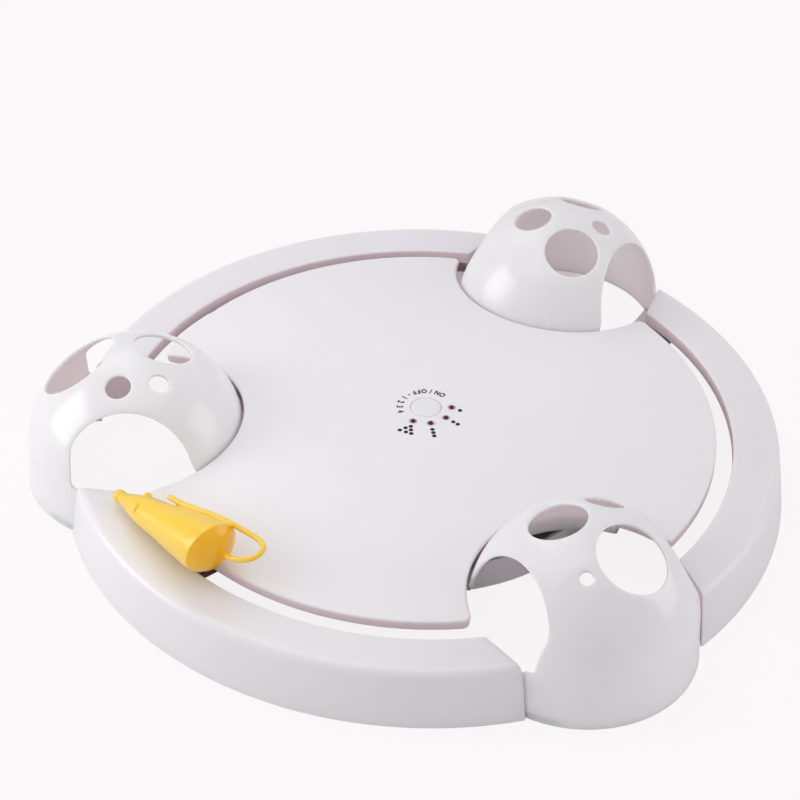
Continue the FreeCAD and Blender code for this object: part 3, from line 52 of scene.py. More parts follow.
DOME_BEARINGS = (180.0, 60.0, -60.0)
DOME_STEP = 120.0
DOME_ORBIT = 155.0
DOME_RADIUS = 58.6
DOME_SPRING = 22.2
DOME_FLOOR_RADIUS = 60.0
DOME_WALL = 2.2
DOME_INNER_BOTTOM = 28.0
ARCH_RADIUS = 33.6
ARCH_MIDDLE = (0.6, 34.3)
ARCH_OUTER = 30.8
ARCH_INNER = -36.3
ARCH_FLARE = 33.0
ARCH_SHOULDER = (-32.4, 40.4)
STRIP_START = 24.5        # the strip of wall under each ring end starts here
LIP_ROUND = 1.0           # rounding of a dome's edges outside
LIP_ROUND_INSIDE = 0.7    # and inside
FLOOR_EDGE_ROUND = 0.6    # the most that the edge on the floor is drawn back
INSIDE_FROM = 0.8         # share of the wall's depth from which it has the inside's painted pink glow

# How the arch's corners move, outward or inward and up, for each mm that its edge is drawn back.
SHOULDER_DRAW = (0.95, 0.33)
BEND_DRAW = 0.25
# Points along the tunnel's opening: up the strip, along its top, up the outer leg, over the arch,
# down the leaning part and down to the inner edge. Then how often its corners are eased.
STRIP_STEPS = 18
SHELF_STEPS = 6
LEG_STEPS = 14
ARCH_STEPS = 60
LEAN_STEPS = 5
BEND_STEPS = 4
ARCH_EASE = 6
INNER_EDGE_STEPS = 30
FLOOR_EDGE_STEPS = 40
ROUND_STEPS = 4           # across a rounded edge outside
ROUND_STEPS_INSIDE = 3

# The flange under the platform's bite, and its two screw tabs.
FLANGE_INNER = 57.0
FLANGE_OUTER = 62.0
FLANGE_TOP = 30.0
FLANGE_END_RADIUS = 57.6  # the flange ends where this circle meets the tunnel's inner leg
FLANGE_STEPS = 40
TAB_OUTER = 68.6
TAB_HALF = 4.5
TAB_ANGLE = 32.0

# The tab under each ring end: distance outward, then distance along the track.
FOOT_TAB_OUTLINE = (
    (24.5, 40.0), (43.0, 40.0), (39.0, 44.0), (31.0, 50.0), (29.4, 51.2), (27.2, 58.0), (24.3, 66.5),
    (14.5, 66.5), (14.5, 50.0), (24.5, 50.0),
)
FOOT_TAB_BOTTOM = 1.8
FOOT_TAB_TOP = 3.8

# Triangles of a dome's wall: their size, the height of a row of them, and how near to an edge or to
# each other their corners may lie, both as a share of their size.
WALL_SPACING = 3.6
ROW_SHARE = 0.866
SPARE_SHARE = 0.55

# Play holes of each dome: bearing and elevation of the axis in degrees, then the radius.
# An edge of a hole of more than LARGE_HOLE has HOLE_STEPS_LARGE points.
LARGE_HOLE = 12.0
HOLE_STEPS = 48
HOLE_STEPS_LARGE = 88
PLAY_HOLES = (
    ((-14.0, 55.0, 22.5), (-145.0, 71.0, 15.6), (75.0, 66.0, 6.8), (128.0, 65.0, 5.4)),
    ((0.0, 62.0, 13.0), (-139.0, 62.0, 15.1), (121.0, 74.0, 10.6), (-73.0, 66.0, 5.6)),
    ((25.0, 63.0, 19.5), (-146.0, 73.0, 15.1), (130.0, 61.0, 10.2), (-35.0, 59.0, 3.5)),
)

RING_INNER = 165.2
RING_TOP = 32.9
RING_TOP_RADIUS = 190.0
RING_FLOOR_RADIUS = 194.1
RING_SKIN = 2.2
RING_LIP = 8.0
RING_ROUND = 4.6
RING_LIP_ROUND = 1.2
RING_END_INNER = 57.5
RING_END_SLANT = 9.0
RING_END_WALL = 2.0
RING_END_BOTTOM = 4.2
RING_END_ROUND = 0.6
RING_LIP_EDGE = 0.6       # chamfer of the lip's lower edge
RING_FLOOR_EDGE = 0.5     # and of the ring's edge on the floor
RING_TOP_BULGE = 0.3      # how far the rounding of the top stands out over the wall
RING_FLAT = (8.0, 14.0)   # points across the flat top, from the inner edge
RING_WALL_HEIGHTS = (20.0, 10.0, 0.5)
BEARING_HALVINGS = 40
CORNER_STRETCH = 0.5      # keeps a sharp corner from moving more than twice as far as its sides
RING_STEPS = 96
FACES_ONE_WAY = 0.7       # least share of a face's direction that counts as facing that way
END_WALL_SETBACK = 0.25   # of the wall that closes a ring end
END_WALL_SIDE = 0.6       # and how far it stays inside the ring's surfaces: inner lip,
END_WALL_TOP = 1.2        # top and floor edge,
END_WALL_SHOULDER = 1.4   # and outer shoulder
END_SLOPE = math.tan(math.radians(RING_END_SLANT))
END_GAP = 0.25            # between a dome's wall and a ring end
FAR_FROM_END = 0.3        # below this share of the distance, a direction misses the ring's ends

PLATFORM_RADIUS = 156.0
PLATFORM_EDGE = 35.1
PLATFORM_CROWN = 10.6
CROWN_SPHERE = (PLATFORM_RADIUS ** 2 + PLATFORM_CROWN ** 2) / (2 * PLATFORM_CROWN)


def crown_height(x, y):
    """Height of the platform's surface over a spot, in mm."""
    return PLATFORM_EDGE + PLATFORM_CROWN - CROWN_SPHERE + math.sqrt(CROWN_SPHERE ** 2 - x * x - y * y)


def polar(radius, bearing, height=0.0):
    """Point at a radius, a bearing in degrees and a height."""
    angle = math.radians(bearing)
    return Vector((radius * math.cos(angle), radius * math.sin(angle), height))


# ---------------------------------------------------------------- mesh helpers

MERGE_WITHIN = 0.002
LATHE_CORE = 0.02         # least radius of a turned profile
# Faces that meet at more than this many degrees keep a sharp edge between them.
DOME_SHARP = 50
RING_SHARP = 35
PANEL_SHARP = 40


def mesh_piece(name, vertices, faces, materials, smooth=True):
    """A mesh object from points in mm, with its materials."""
    mesh = bpy.data.meshes.new(name)
    mesh.from_pydata([tuple(Vector(v) * MM) for v in vertices], [], faces)
    for material in materials:
        mesh.materials.append(material)
    mesh.validate()
    build = bmesh.new()
    build.from_mesh(mesh)
    bmesh.ops.remove_doubles(build, verts=build.verts, dist=MERGE_WITHIN * MM)
    bmesh.ops.recalc_face_normals(build, faces=build.faces)
    build.to_mesh(mesh)
    build.free()
    if smooth:
        for polygon in mesh.polygons:
            polygon.use_smooth = True
    piece = bpy.data.objects.new(name, mesh)
    bpy.context.scene.collection.objects.link(piece)
    return piece


def sleeve(*rows):
    """Vertices and faces of a wall through loops of points, open at both ends."""
    count = len(rows[0])
    faces = []
    for low in range(0, count * (len(rows) - 1), count):
        for step in range(count):
            following = (step + 1) % count
            faces.append((low + step, low + following, low + following + count, low + step + count))
    return [point for row in rows for point in row], faces


def closed(*rows):
    """The same wall, filled at both ends."""
    vertices, faces = sleeve(*rows)
    count = len(rows[0])
    return vertices, faces + [tuple(range(count))[::-1], tuple(range(len(vertices) - count, len(vertices)))]


def lathe(profile, turns):
    """Vertices and faces of a profile of (radius, height) turned about Z; open at both ends."""
    count = len(profile)
    vertices = []
    faces = []
    for step in range(turns):
        vertices += [polar(radius, 360.0 * step / turns, height) for radius, height in profile]
        here, there = step * count, (step + 1) % turns * count
        faces += [(here + row, there + row, there + row + 1, here + row + 1) for row in range(count - 1)]
    return vertices, faces


def arc(centre, radius, start, end, steps):
    """Points of an arc in a plane, by angle in degrees."""
    points = []
    for step in range(steps + 1):
        angle = math.radians(start + (end - start) * step / steps)
        points.append((centre[0] + radius * math.cos(angle), centre[1] + radius * math.sin(angle)))
    return points


def quarter_round(radius, steps):
    """A rounded edge in steps from a face: distance drawn back, and depth under the face."""
    rounding = []
    for step in range(steps + 1):
        angle = math.radians(90 * step / steps)
        rounding.append((radius * (1 - math.sin(angle)), radius * (1 - math.cos(angle))))
    return rounding


def slab(outline, low, high):
    """Closed prism from a flat outline."""
    return closed([Vector((x, y, low)) for x, y in outline], [Vector((x, y, high)) for x, y in outline])


def gather(*parts):
    """One list of vertices and faces from several."""
    vertices = []
    faces = []
    for some, more in parts:
        start = len(vertices)
        vertices += some
        faces += [tuple(corner + start for corner in face) for face in more]
    return vertices, faces


def drawn_mesh(name, data):
    """Mesh of a curve or of a letter."""
    holder = bpy.data.objects.new(name, data)
    bpy.context.scene.collection.objects.link(holder)
    mesh = bpy.data.meshes.new_from_object(holder.evaluated_get(bpy.context.evaluated_depsgraph_get()))
    bpy.data.objects.remove(holder)
    return mesh


def smooth_by_angle(piece, degrees):
    """Smooth shading with sharp edges kept where faces meet at more than an angle."""
    piece.data.shade_smooth()
    piece.data.set_sharp_from_angle(angle=math.radians(degrees))


def inside(point, loop):
    """Whether a flat point lies inside a closed loop."""
    hit = False
    x, y = point
    for (ax, ay), (bx, by) in zip(loop, loop[1:] + loop[:1]):
        if (ay > y) != (by > y) and x < (bx - ax) * (y - ay) / (by - ay) + ax:
            hit = not hit
    return hit


# ---------------------------------------------------------------- tunnel domes

def shell_radius(height, depth):
    """Radius of a dome's wall at a height, at a depth under the outer surface."""
    if height >= DOME_SPRING:
        reach = (DOME_RADIUS - depth) ** 2 - (height - DOME_SPRING) ** 2
        return math.sqrt(max(reach, 0.0))
    share = (DOME_SPRING - height) / DOME_SPRING
    return DOME_RADIUS + (DOME_FLOOR_RADIUS - DOME_RADIUS) * share - depth


def wall_reach(radius, angle, depth):
    """Distance of a dome's wall from its middle, held back where the ring's end stands against it."""
    across = abs(math.sin(angle)) + END_SLOPE * math.cos(angle)
    if across < FAR_FROM_END:
        return radius
    return min(radius, (RING_END_INNER - END_GAP - depth) / across)


def on_shell(u, height, side, depth):
    """Point of the wall at a distance outward and a height, on one side of the tunnel."""
    w = math.sqrt(max(shell_radius(height, depth) ** 2 - u * u, 0.0))
    return Vector((u, side * min(w, RING_END_INNER - END_GAP - depth - END_SLOPE * u), height))


def unrolled(point, depth):
    """Flat place of a point of the wall: its distance down from the top along the wall."""
    radius = DOME_RADIUS - depth
    if point.z >= DOME_SPRING:
        down = radius * math.atan2(math.hypot(point.x, point.y), point.z - DOME_SPRING)
    else:
        down = radius * math.pi / 2 + DOME_SPRING - point.z
    angle = math.atan2(point.y, point.x)
    return down * math.cos(angle), down * math.sin(angle)


def rolled(flat, depth):
    """Point of the wall from its flat place."""
    radius = DOME_RADIUS - depth
    down = math.hypot(*flat)
    angle = math.atan2(flat[1], flat[0])
    if down <= radius * math.pi / 2:
        reach = radius * math.sin(down / radius)
        height = DOME_SPRING + radius * math.cos(down / radius)
    else:
        height = DOME_SPRING - (down - radius * math.pi / 2)
        reach = wall_reach(shell_radius(height, depth), angle, depth)
    return Vector((reach * math.cos(angle), reach * math.sin(angle), height))


def softened(points, passes):
    """A flat line with its corners eased, its two ends kept."""
    for _ in range(passes):
        moved = [points[0]]
        for before, here, after in zip(points, points[1:], points[2:]):
            moved.append(tuple(0.25 * a + 0.5 * b + 0.25 * c for a, b, c in zip(before, here, after)))
        points = moved + [points[-1]]
    return points


def arch_line(grow, low, high):
    """The tunnel's opening drawn back by grow, from the outer leg's foot over the arch to the inner leg."""
    outer = ARCH_OUTER + grow
    radius = ARCH_RADIUS + grow
    first = math.degrees(math.acos((outer - ARCH_MIDDLE[0]) / radius))
    meet = ARCH_MIDDLE[1] + radius * math.sin(math.radians(first))
    shoulder = (ARCH_SHOULDER[0] - SHOULDER_DRAW[0] * grow, ARCH_SHOULDER[1] + SHOULDER_DRAW[1] * grow)
    bend = (ARCH_INNER - grow, ARCH_FLARE + BEND_DRAW * grow)
    last = math.degrees(math.atan2(shoulder[1] - ARCH_MIDDLE[1], shoulder[0] - ARCH_MIDDLE[0]))
    foot, shelf = STRIP_START + grow, DOME_INNER_BOTTOM - grow
    line = []
    for start, stop, count in (((foot, low), (foot, shelf), STRIP_STEPS),
                               ((foot, shelf), (outer, shelf), SHELF_STEPS),
                               ((outer, shelf), (outer, meet), LEG_STEPS)):
        line += [tuple(a + (b - a) * step / count for a, b in zip(start, stop)) for step in range(count)]
    line += arc(ARCH_MIDDLE, radius, first, last, ARCH_STEPS)
    for start, stop, count in ((shoulder, bend, LEAN_STEPS), (bend, (bend[0], high), BEND_STEPS)):
        for step in range(1, count + 1):
            line.append(tuple(a + (b - a) * step / count for a, b in zip(start, stop)))
    return softened(line, ARCH_EASE)


def outline_loop(grow, depth):
    """Closed edge of a dome's wall: floor, arch, inner edge, arch, drawn back by grow."""
    low = min(grow, FLOOR_EDGE_ROUND)
    high = DOME_INNER_BOTTOM + grow

    def arch(side):
        """The tunnel's opening on one side of the dome."""
        return [on_shell(u, height, side, depth) for u, height in arch_line(grow, low, high)]

    def edge(first, last, height, steps):
        """Points between two points of the wall, round the dome at a height."""
        start = math.atan2(first.y, first.x)
        sweep = math.atan2(last.y, last.x) - start
        if sweep < 0:
            sweep += 2 * math.pi
        points = []
        for step in range(1, steps):
            place = start + sweep * step / steps
            reach = wall_reach(shell_radius(height, depth), place, depth)
            points.append(polar(reach, math.degrees(place), height))
        return points

    far = arch(1)
    near = arch(-1)[::-1]
    inner_edge = edge(far[-1], near[0], high, INNER_EDGE_STEPS)
    return far + inner_edge + near + edge(near[-1], far[0], low, FLOOR_EDGE_STEPS)


def hole_loop(hole, grow, depth):
    """Edge of a play hole, which runs along a line from the middle of the dome's ball."""
    bearing, elevation, radius = hole
    axis = polar(math.cos(math.radians(elevation)), bearing, math.sin(math.radians(elevation)))
    across = axis.orthogonal().normalized()
    along = axis.cross(across)
    ball = DOME_RADIUS - depth
    reach = radius + grow
    lift = math.sqrt(ball ** 2 - reach ** 2)
    steps = HOLE_STEPS_LARGE if radius > LARGE_HOLE else HOLE_STEPS
    middle = axis * lift + Vector((0, 0, DOME_SPRING))
    return [middle + across * x + along * y for x, y in arc((0.0, 0.0), reach, 0.0, 360.0, steps)[:-1]]


def wall_sheet(loops, depth):
    """Triangles that fill a dome's wall at a depth, between its outline and its holes."""
    flats = [[unrolled(point, depth) for point in loop] for loop in loops]
    points = []
    edges = []
    for loop in flats:
        start = len(points)
        points += loop
        edges += [(start + step, start + (step + 1) % len(loop)) for step in range(len(loop))]
    solid = [point for loop in loops for point in loop]

    def in_wall(place):
        """Whether a flat place lies in the wall."""
        return inside(place, flats[0]) and not any(inside(place, loop) for loop in flats[1:])

    def fill(places):
        """Add the places that lie in the wall, clear of the points that are there already."""
        taken = list(points)
        spare = SPARE_SHARE * WALL_SPACING
        for place in places:
            if in_wall(place) and min(math.dist(place, point) for point in taken) > spare:
                points.append(place)
                solid.append(rolled(place, depth))

    spring_line = (DOME_RADIUS - depth) * math.pi / 2
    count = int(2 * math.pi * spring_line / WALL_SPACING)
    fill([tuple(polar(spring_line, 360.0 * step / count))[:2] for step in range(count)])
    rows = int(max(math.hypot(*point) for point in points) / (WALL_SPACING * ROW_SHARE)) + 1
    fill([((column + (row % 2) / 2) * WALL_SPACING, row * WALL_SPACING * ROW_SHARE)
          for row in range(-rows, rows + 1) for column in range(-rows - 1, rows + 2)])
    found = delaunay_2d_cdt([Vector(point) for point in points], edges, [], 0, 1e-6)
    placed, origins = found[0], found[3]
    spots = []
    for spot, origin in zip(placed, origins):
        spots.append(solid[origin[0]] if origin else rolled(tuple(spot), depth))
    faces = []
    for face in found[2]:
        middle = sum((placed[corner] for corner in face), Vector((0, 0))) / len(face)
        if in_wall((middle.x, middle.y)):
            faces.append(tuple(face))
    return spots, faces


def dome_tabs():
    """The flange and tabs at the platform and the two tabs under the ring's ends."""
    reach = math.degrees(math.acos(ARCH_INNER / FLANGE_END_RADIUS))
    flange = arc((0.0, 0.0), FLANGE_OUTER, reach, 360.0 - reach, FLANGE_STEPS)
    flange += arc((0.0, 0.0), FLANGE_INNER, 360.0 - reach, reach, FLANGE_STEPS)
    parts = [slab(flange, DOME_INNER_BOTTOM, FLANGE_TOP)]
    for side in (-1, 1):
        foot = [(u, side * w) for u, w in FOOT_TAB_OUTLINE][::side]
        parts.append(slab(foot, FOOT_TAB_BOTTOM, FOOT_TAB_TOP))
        turn = Matrix.Rotation(math.radians(180 + side * TAB_ANGLE), 2)
        tab = ((FLANGE_INNER, -TAB_HALF), (TAB_OUTER, -TAB_HALF),
               (TAB_OUTER, TAB_HALF), (FLANGE_INNER, TAB_HALF))
        parts.append(slab([turn @ Vector(corner) for corner in tab], DOME_INNER_BOTTOM, FLANGE_TOP))
    return parts


def build_dome(number, bearing, holes):
    """One tunnel dome with rounded edges, in place of its solid."""
    stages = quarter_round(LIP_ROUND, ROUND_STEPS)
    for grow, depth in quarter_round(LIP_ROUND_INSIDE, ROUND_STEPS_INSIDE)[::-1]:
        stages.append((grow, DOME_WALL - depth))
    rings = []
    for grow, depth in stages:
        rings.append([outline_loop(grow, depth)] + [hole_loop(hole, grow, depth) for hole in holes])
    parts = [wall_sheet(rings[0], 0.0), wall_sheet(rings[-1], DOME_WALL)]
    for first, second in zip(rings, rings[1:]):
        for above, below in zip(first, second):
            parts.append(sleeve(above, below))
    vertices, faces = gather(*parts, *dome_tabs())
    turn = Matrix.Translation(polar(DOME_ORBIT, bearing)) @ Matrix.Rotation(math.radians(bearing), 4, "Z")
    vertices = [turn @ vertex for vertex in vertices]
    piece = mesh_piece("dome_shell_%d" % number, vertices, faces, [dome_white, dome_inside_painted_glow])
    smooth_by_angle(piece, DOME_SHARP)
    back = turn.inverted()
    # Faces deep in the wall take the painted pink glow of the inside.
    for polygon in piece.data.polygons:
        middle = back @ (polygon.center / MM)
        if middle.z > DOME_SPRING:
            depth = DOME_RADIUS - math.hypot(middle.x, middle.y, middle.z - DOME_SPRING)
        else:
            depth = shell_radius(middle.z, 0.0) - math.hypot(middle.x, middle.y)
        polygon.material_index = 1 if depth > INSIDE_FROM * DOME_WALL else 0
    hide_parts("tunnel_dome_%d" % number)
    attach(piece, "stand")


# ---------------------------------------------------------------- ring

def ring_wall(height):
    """Radius of the ring's outer wall at a height."""
    return RING_FLOOR_RADIUS - (RING_FLOOR_RADIUS - RING_TOP_RADIUS) / RING_TOP * height


def ring_section():
    """Closed outline of the ring's channel in radius and height, with its rounded edges."""
    low = RING_TOP - RING_LIP
    shoulder = RING_TOP - RING_ROUND
    section = [(RING_INNER, low + RING_LIP_EDGE), (RING_INNER, RING_TOP - RING_LIP_ROUND)]
    section += arc((RING_INNER + RING_LIP_ROUND, RING_TOP - RING_LIP_ROUND), RING_LIP_ROUND, 180, 90, 5)[1:]
    section += [(RING_INNER + across, RING_TOP) for across in RING_FLAT]
    section += arc((RING_TOP_RADIUS - RING_ROUND + RING_TOP_BULGE, shoulder), RING_ROUND, 90, 7, 10)
    section += [(ring_wall(height), height) for height in RING_WALL_HEIGHTS]
    section += [(RING_FLOOR_RADIUS - RING_FLOOR_EDGE, 0.0), (RING_FLOOR_RADIUS - RING_SKIN, 0.0)]
    roof = RING_TOP - RING_SKIN
    section += [(RING_TOP_RADIUS - RING_SKIN, shoulder), (RING_TOP_RADIUS - RING_ROUND, roof)]
    section += [(RING_INNER + RING_SKIN, roof), (RING_INNER + RING_SKIN, low + RING_LIP_EDGE)]
    section += [(RING_INNER + RING_SKIN - RING_LIP_EDGE, low), (RING_INNER + RING_LIP_EDGE, low)]
    return section


def end_bearing(radius, middle, side, back):
    """Bearing at which a circle meets the end plane of a ring segment, which may stand back a little."""
    low, high = 0.0, DOME_STEP / 2
    for _ in range(BEARING_HALVINGS):
        angle = (low + high) / 2
        u = radius * math.cos(math.radians(angle)) - DOME_ORBIT
        w = radius * math.sin(math.radians(angle))
        if w < RING_END_INNER + back - u * END_SLOPE:
            low = angle
        else:
            high = angle
    return middle + side * low


def drawn_in(section, depth):
    """A closed flat outline moved toward its own inside by a small depth."""
    count = len(section)
    moved = []
    for step in range(count):
        before, here, after = (Vector(section[(step + turn) % count]) for turn in (-1, 0, 1))
        along = (here - before).normalized()
        onward = (after - here).normalized()
        middle = (along + onward).normalized()
        stretch = max(middle.dot(along), CORNER_STRETCH)
        moved.append((here.x + middle.y * depth / stretch, here.y - middle.x * depth / stretch))
    return moved


def swept(section, first, last, steps):
    """A closed section swept along the ring between two domes, with filled and rounded ends."""
    def across(middle, side, depth, back):
        """The section at a ring end, drawn in by a depth and standing back a little."""
        return [polar(radius, end_bearing(radius, middle, side, back), height)
                for radius, height in drawn_in(section, depth)]

    rounding = quarter_round(RING_END_ROUND, ROUND_STEPS)
    rows = [across(first, 1, depth, back) for depth, back in rounding]
    for step in range(1, steps):
        row = []
        for radius, height in section:
            start = end_bearing(radius, first, 1, RING_END_ROUND)
            stop = end_bearing(radius, last, -1, RING_END_ROUND)
            row.append(polar(radius, start + (stop - start) * step / steps, height))
        rows.append(row)
    return closed(*rows, *(across(last, -1, depth, back) for depth, back in rounding[::-1]))


def build_ring_segment(number, first, last):
    """One ring segment between two domes, with a wall in each end."""
    parts = [swept(ring_section(), first, last, RING_STEPS)]
    top = RING_TOP - END_WALL_TOP
    wall = [(RING_INNER + END_WALL_SIDE, RING_END_BOTTOM), (RING_INNER + END_WALL_SIDE, top),
            (RING_TOP_RADIUS - RING_ROUND, top), (RING_TOP_RADIUS - END_WALL_SHOULDER, RING_TOP - RING_ROUND),
            (ring_wall(RING_END_BOTTOM) - END_WALL_TOP, RING_END_BOTTOM)]
    for middle, side in ((first, 1), (last, -1)):
        parts.append(closed(*([polar(radius, end_bearing(radius, middle, side, back), height)
                               for radius, height in wall] for back in (END_WALL_SETBACK, RING_END_WALL))))
    vertices, faces = gather(*parts)
    piece = mesh_piece("ring_cover_%d" % number, vertices, faces, [shell_white, ring_inside_painted_glow])
    smooth_by_angle(piece, RING_SHARP)
    # End, inner and under faces take the painted pink glow of the ring's shaded inside.
    for polygon in piece.data.polygons:
        outward = Vector((polygon.center.x, polygon.center.y, 0)).normalized()
        end = abs(Vector((-outward.y, outward.x, 0)).dot(polygon.normal)) > FACES_ONE_WAY
        inner = polygon.normal.dot(outward) < -FACES_ONE_WAY
        under = polygon.normal.z < -FACES_ONE_WAY
        polygon.material_index = 1 if end or inner or under else 0
    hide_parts("ring_segment_%d" % number)
    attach(piece, "stand")


# ---------------------------------------------------------------- materials

FLOW_SCALE = 9.0          # patches of flow shading for each metre
FLOW_RANGE = (0.35, 0.75)
RELIEF_STRENGTH = 0.6
RELIEF_DEPTH = 0.02


def new_group(name, inputs, outputs):
    """An empty shader node group; each socket has a name, a kind and perhaps a value."""
    group = bpy.data.node_groups.new(name, "ShaderNodeTree")
    for flow, sockets in (("INPUT", inputs), ("OUTPUT", outputs)):
        for label, kind, *value in sockets:
            socket = group.interface.new_socket(label, in_out=flow, socket_type="NodeSocket" + kind)
            if value:
                socket.default_value = value[0]
    return group, group.nodes.new("NodeGroupInput"), group.nodes.new("NodeGroupOutput")


def new_node(tree, kind, inputs, **settings):
    """A shader node with its settings; each of its inputs takes a value or another node's output."""
    node = tree.nodes.new(kind)
    for label, value in settings.items():
        setattr(node, label, value)
    for label, value in inputs.items():
        if isinstance(value, bpy.types.NodeSocket):
            tree.links.new(value, node.inputs[label])
        else:
            node.inputs[label].default_value = value
    return node


def arithmetic(tree, operation, *values):
    """Output of a Math node."""
    return new_node(tree, "ShaderNodeMath", dict(enumerate(values)), operation=operation).outputs["Value"]


def ramp(tree, value, first, last, low=0.0, high=1.0, kind="LINEAR"):
    """Output of a Map Range node: low at first, high at last, and held beyond them."""
    inputs = {"Value": value, "From Min": first, "From Max": last, "To Min": low, "To Max": high}
    return new_node(tree, "ShaderNodeMapRange", inputs, interpolation_type=kind).outputs["Result"]


def colour_mix(tree, share, first, second):
    """Output of a colour Mix node."""
    inputs = {"Factor": share, "A": first, "B": second}
    return new_node(tree, "ShaderNodeMix", inputs, data_type="RGBA").outputs["Result"]


def noise(tree, place, scale, detail):
    """Output of a Noise Texture node."""
    inputs = {"Vector": place, "Scale": scale, "Detail": detail}
    return new_node(tree, "ShaderNodeTexNoise", inputs).outputs["Fac"]


def offset(tree, operation, first, second, output):
    """Output of a Vector Math node."""
    return new_node(tree, "ShaderNodeVectorMath", {0: first, 1: second}, operation=operation).outputs[output]


def moulding_group():
    """Moulded plastic: faint flow shading, fine grain, and a roughness that follows the flow."""
    group, start, end = new_group(
        "MouldedSkin",
        [("Colour", "Color"), ("Shade", "Color"), ("Grain Scale", "Float", 900.0),
         ("Grain Height", "Float", 0.05), ("Roughness", "Float", 0.3), ("Roughness Spread", "Float", 0.06)],
        [("Colour", "Color"), ("Roughness", "Float"), ("Height", "Float")])
    given = start.outputs
    place = group.nodes.new("ShaderNodeTexCoord").outputs["Object"]
    flow = noise(group, place, FLOW_SCALE, 3.0)
    grain = noise(group, place, given["Grain Scale"], 2.0)
    shaded = colour_mix(group, ramp(group, flow, *FLOW_RANGE), given["Colour"], given["Shade"])
    rough = arithmetic(group, "MULTIPLY_ADD", flow, given["Roughness Spread"], given["Roughness"])
    height = arithmetic(group, "MULTIPLY", grain, given["Grain Height"])
    for label, value in (("Colour", shaded), ("Roughness", rough), ("Height", height)):
        group.links.new(value, end.inputs[label])
    return group


def tint_group():
    """Another colour beyond a plane through a middle point and within reach of it, with a soft edge."""
    group, start, end = new_group(
        "TintBeyond",
        [("Colour", "Color"), ("Tint", "Color"), ("Middle", "Vector"), ("Facing", "Vector"),
         ("Fade", "Float", 0.001), ("Reach", "Float", 0.1)], [("Colour", "Color")])
    given = start.outputs
    fade, reach = given["Fade"], given["Reach"]
    place = group.nodes.new("ShaderNodeTexCoord").outputs["Object"]
    away = offset(group, "SUBTRACT", place, given["Middle"], "Vector")
    along = offset(group, "DOT_PRODUCT", away, given["Facing"], "Value")
    past = ramp(group, along, arithmetic(group, "MULTIPLY", fade, -1.0), fade, kind="SMOOTHSTEP")
    distance = offset(group, "DISTANCE", place, given["Middle"], "Value")
    outside, within = arithmetic(group, "ADD", reach, fade), arithmetic(group, "SUBTRACT", reach, fade)
    tinted = arithmetic(group, "MULTIPLY", past, ramp(group, distance, outside, within))
    tinted = colour_mix(group, tinted, given["Colour"], given["Tint"])
    group.links.new(tinted, end.inputs["Colour"])
    return group


SKIN = moulding_group()
TINT = tint_group()


def moulded(name, colour, shade, roughness, grain=900.0, height=0.05, soft=None, **sockets):
    """A moulded material: the skin group feeds colour, roughness and bump; the rest is set on the shader."""
    material = bpy.data.materials.new(name)
    material.use_nodes = True
    tree = material.node_tree
    shader = tree.nodes["Principled BSDF"]
    values = {"Colour": (*colour, 1), "Shade": (*shade, 1), "Roughness": roughness,
              "Grain Scale": grain, "Grain Height": height}
    skin = new_node(tree, "ShaderNodeGroup", values, node_tree=SKIN, name="Skin")
    values = {"Strength": RELIEF_STRENGTH, "Distance": RELIEF_DEPTH * MM, "Height": skin.outputs["Height"]}
    relief = new_node(tree, "ShaderNodeBump", values)
    tree.links.new(skin.outputs["Colour"], shader.inputs["Base Color"])
    tree.links.new(skin.outputs["Roughness"], shader.inputs["Roughness"])
    tree.links.new(relief.outputs["Normal"], shader.inputs["Normal"])
    if soft:
        weight, depth, reach = soft
        sockets.update(Subsurface_Weight=weight, Subsurface_Scale=depth * MM, Subsurface_Radius=reach)
    for label, value in sockets.items():
        shader.inputs[label.replace("_", " ")].default_value = value
    return material


WALL_GLOW = (1.0, 0.80, 0.82)     # how far red, green and blue light spread inside the white plastics
DOME_GLOW = (1.0, 0.78, 0.80)
RUBBER_GLOW = (1.0, 0.55, 0.12)
# Painted light: a pink glow on the platform's upright walls, standing for light through the plastic into
# their shade.
PLATFORM_WALL_PAINTED_GLOW = (0.97, 0.84, 0.875)
UPRIGHT_FADE = (0.5, 0.2)         # how level a face is where the painted wall glow starts, and is full

shell_white = moulded("shell_white", (0.84, 0.82, 0.845), (0.81, 0.79, 0.82), 0.28,
                      soft=(0.4, 5.0, WALL_GLOW), Coat_Weight=0.25, Coat_Roughness=0.12)
# The ring's inner, under and end faces: partly real scattering, and a paler pink colour that is a painted
# glow of light through the plastic into the shaded slot.
ring_inside_painted_glow = moulded("ring_inside_painted_glow", (0.97, 0.83, 0.86), (0.95, 0.81, 0.84), 0.4,
                      soft=(0.3, 2.0, WALL_GLOW))
platform_white = moulded("platform_white", (0.86, 0.845, 0.87), (0.83, 0.815, 0.84), 0.36,
                         soft=(0.2, 2.0, WALL_GLOW), Coat_Weight=0.1, Coat_Roughness=0.2)
dome_white = moulded("dome_white", (0.87, 0.84, 0.86), (0.84, 0.81, 0.84), 0.24,
                     soft=(0.7, 10.0, DOME_GLOW), Coat_Weight=0.5, Coat_Roughness=0.05)
# The dome's inner faces: partly real scattering, and a paler pink colour that is a painted glow of light
# through the thin wall.
dome_inside_painted_glow = moulded("dome_inside_painted_glow", (0.98, 0.86, 0.88), (0.96, 0.84, 0.86), 0.4,
                      soft=(0.85, 8.0, DOME_GLOW))
button_white = moulded("button_white", (0.82, 0.82, 0.84), (0.79, 0.79, 0.82), 0.35)
lens_red = moulded("lens_red", (0.06, 0.001, 0.005), (0.05, 0.001, 0.004), 0.08,
                   Coat_Weight=0.3, Coat_Roughness=0.03, Specular_IOR_Level=0.35)
mouse_yellow = moulded("mouse_yellow", (0.95, 0.64, 0.05), (0.93, 0.59, 0.035), 0.30, grain=1400.0,
                       height=0.1, soft=(0.2, 4.0, RUBBER_GLOW), Coat_Weight=0.9, Coat_Roughness=0.24,
                       Specular_IOR_Level=0.2)
print_navy = moulded("print_navy", (0.004, 0.004, 0.013), (0.006, 0.006, 0.017), 0.6)

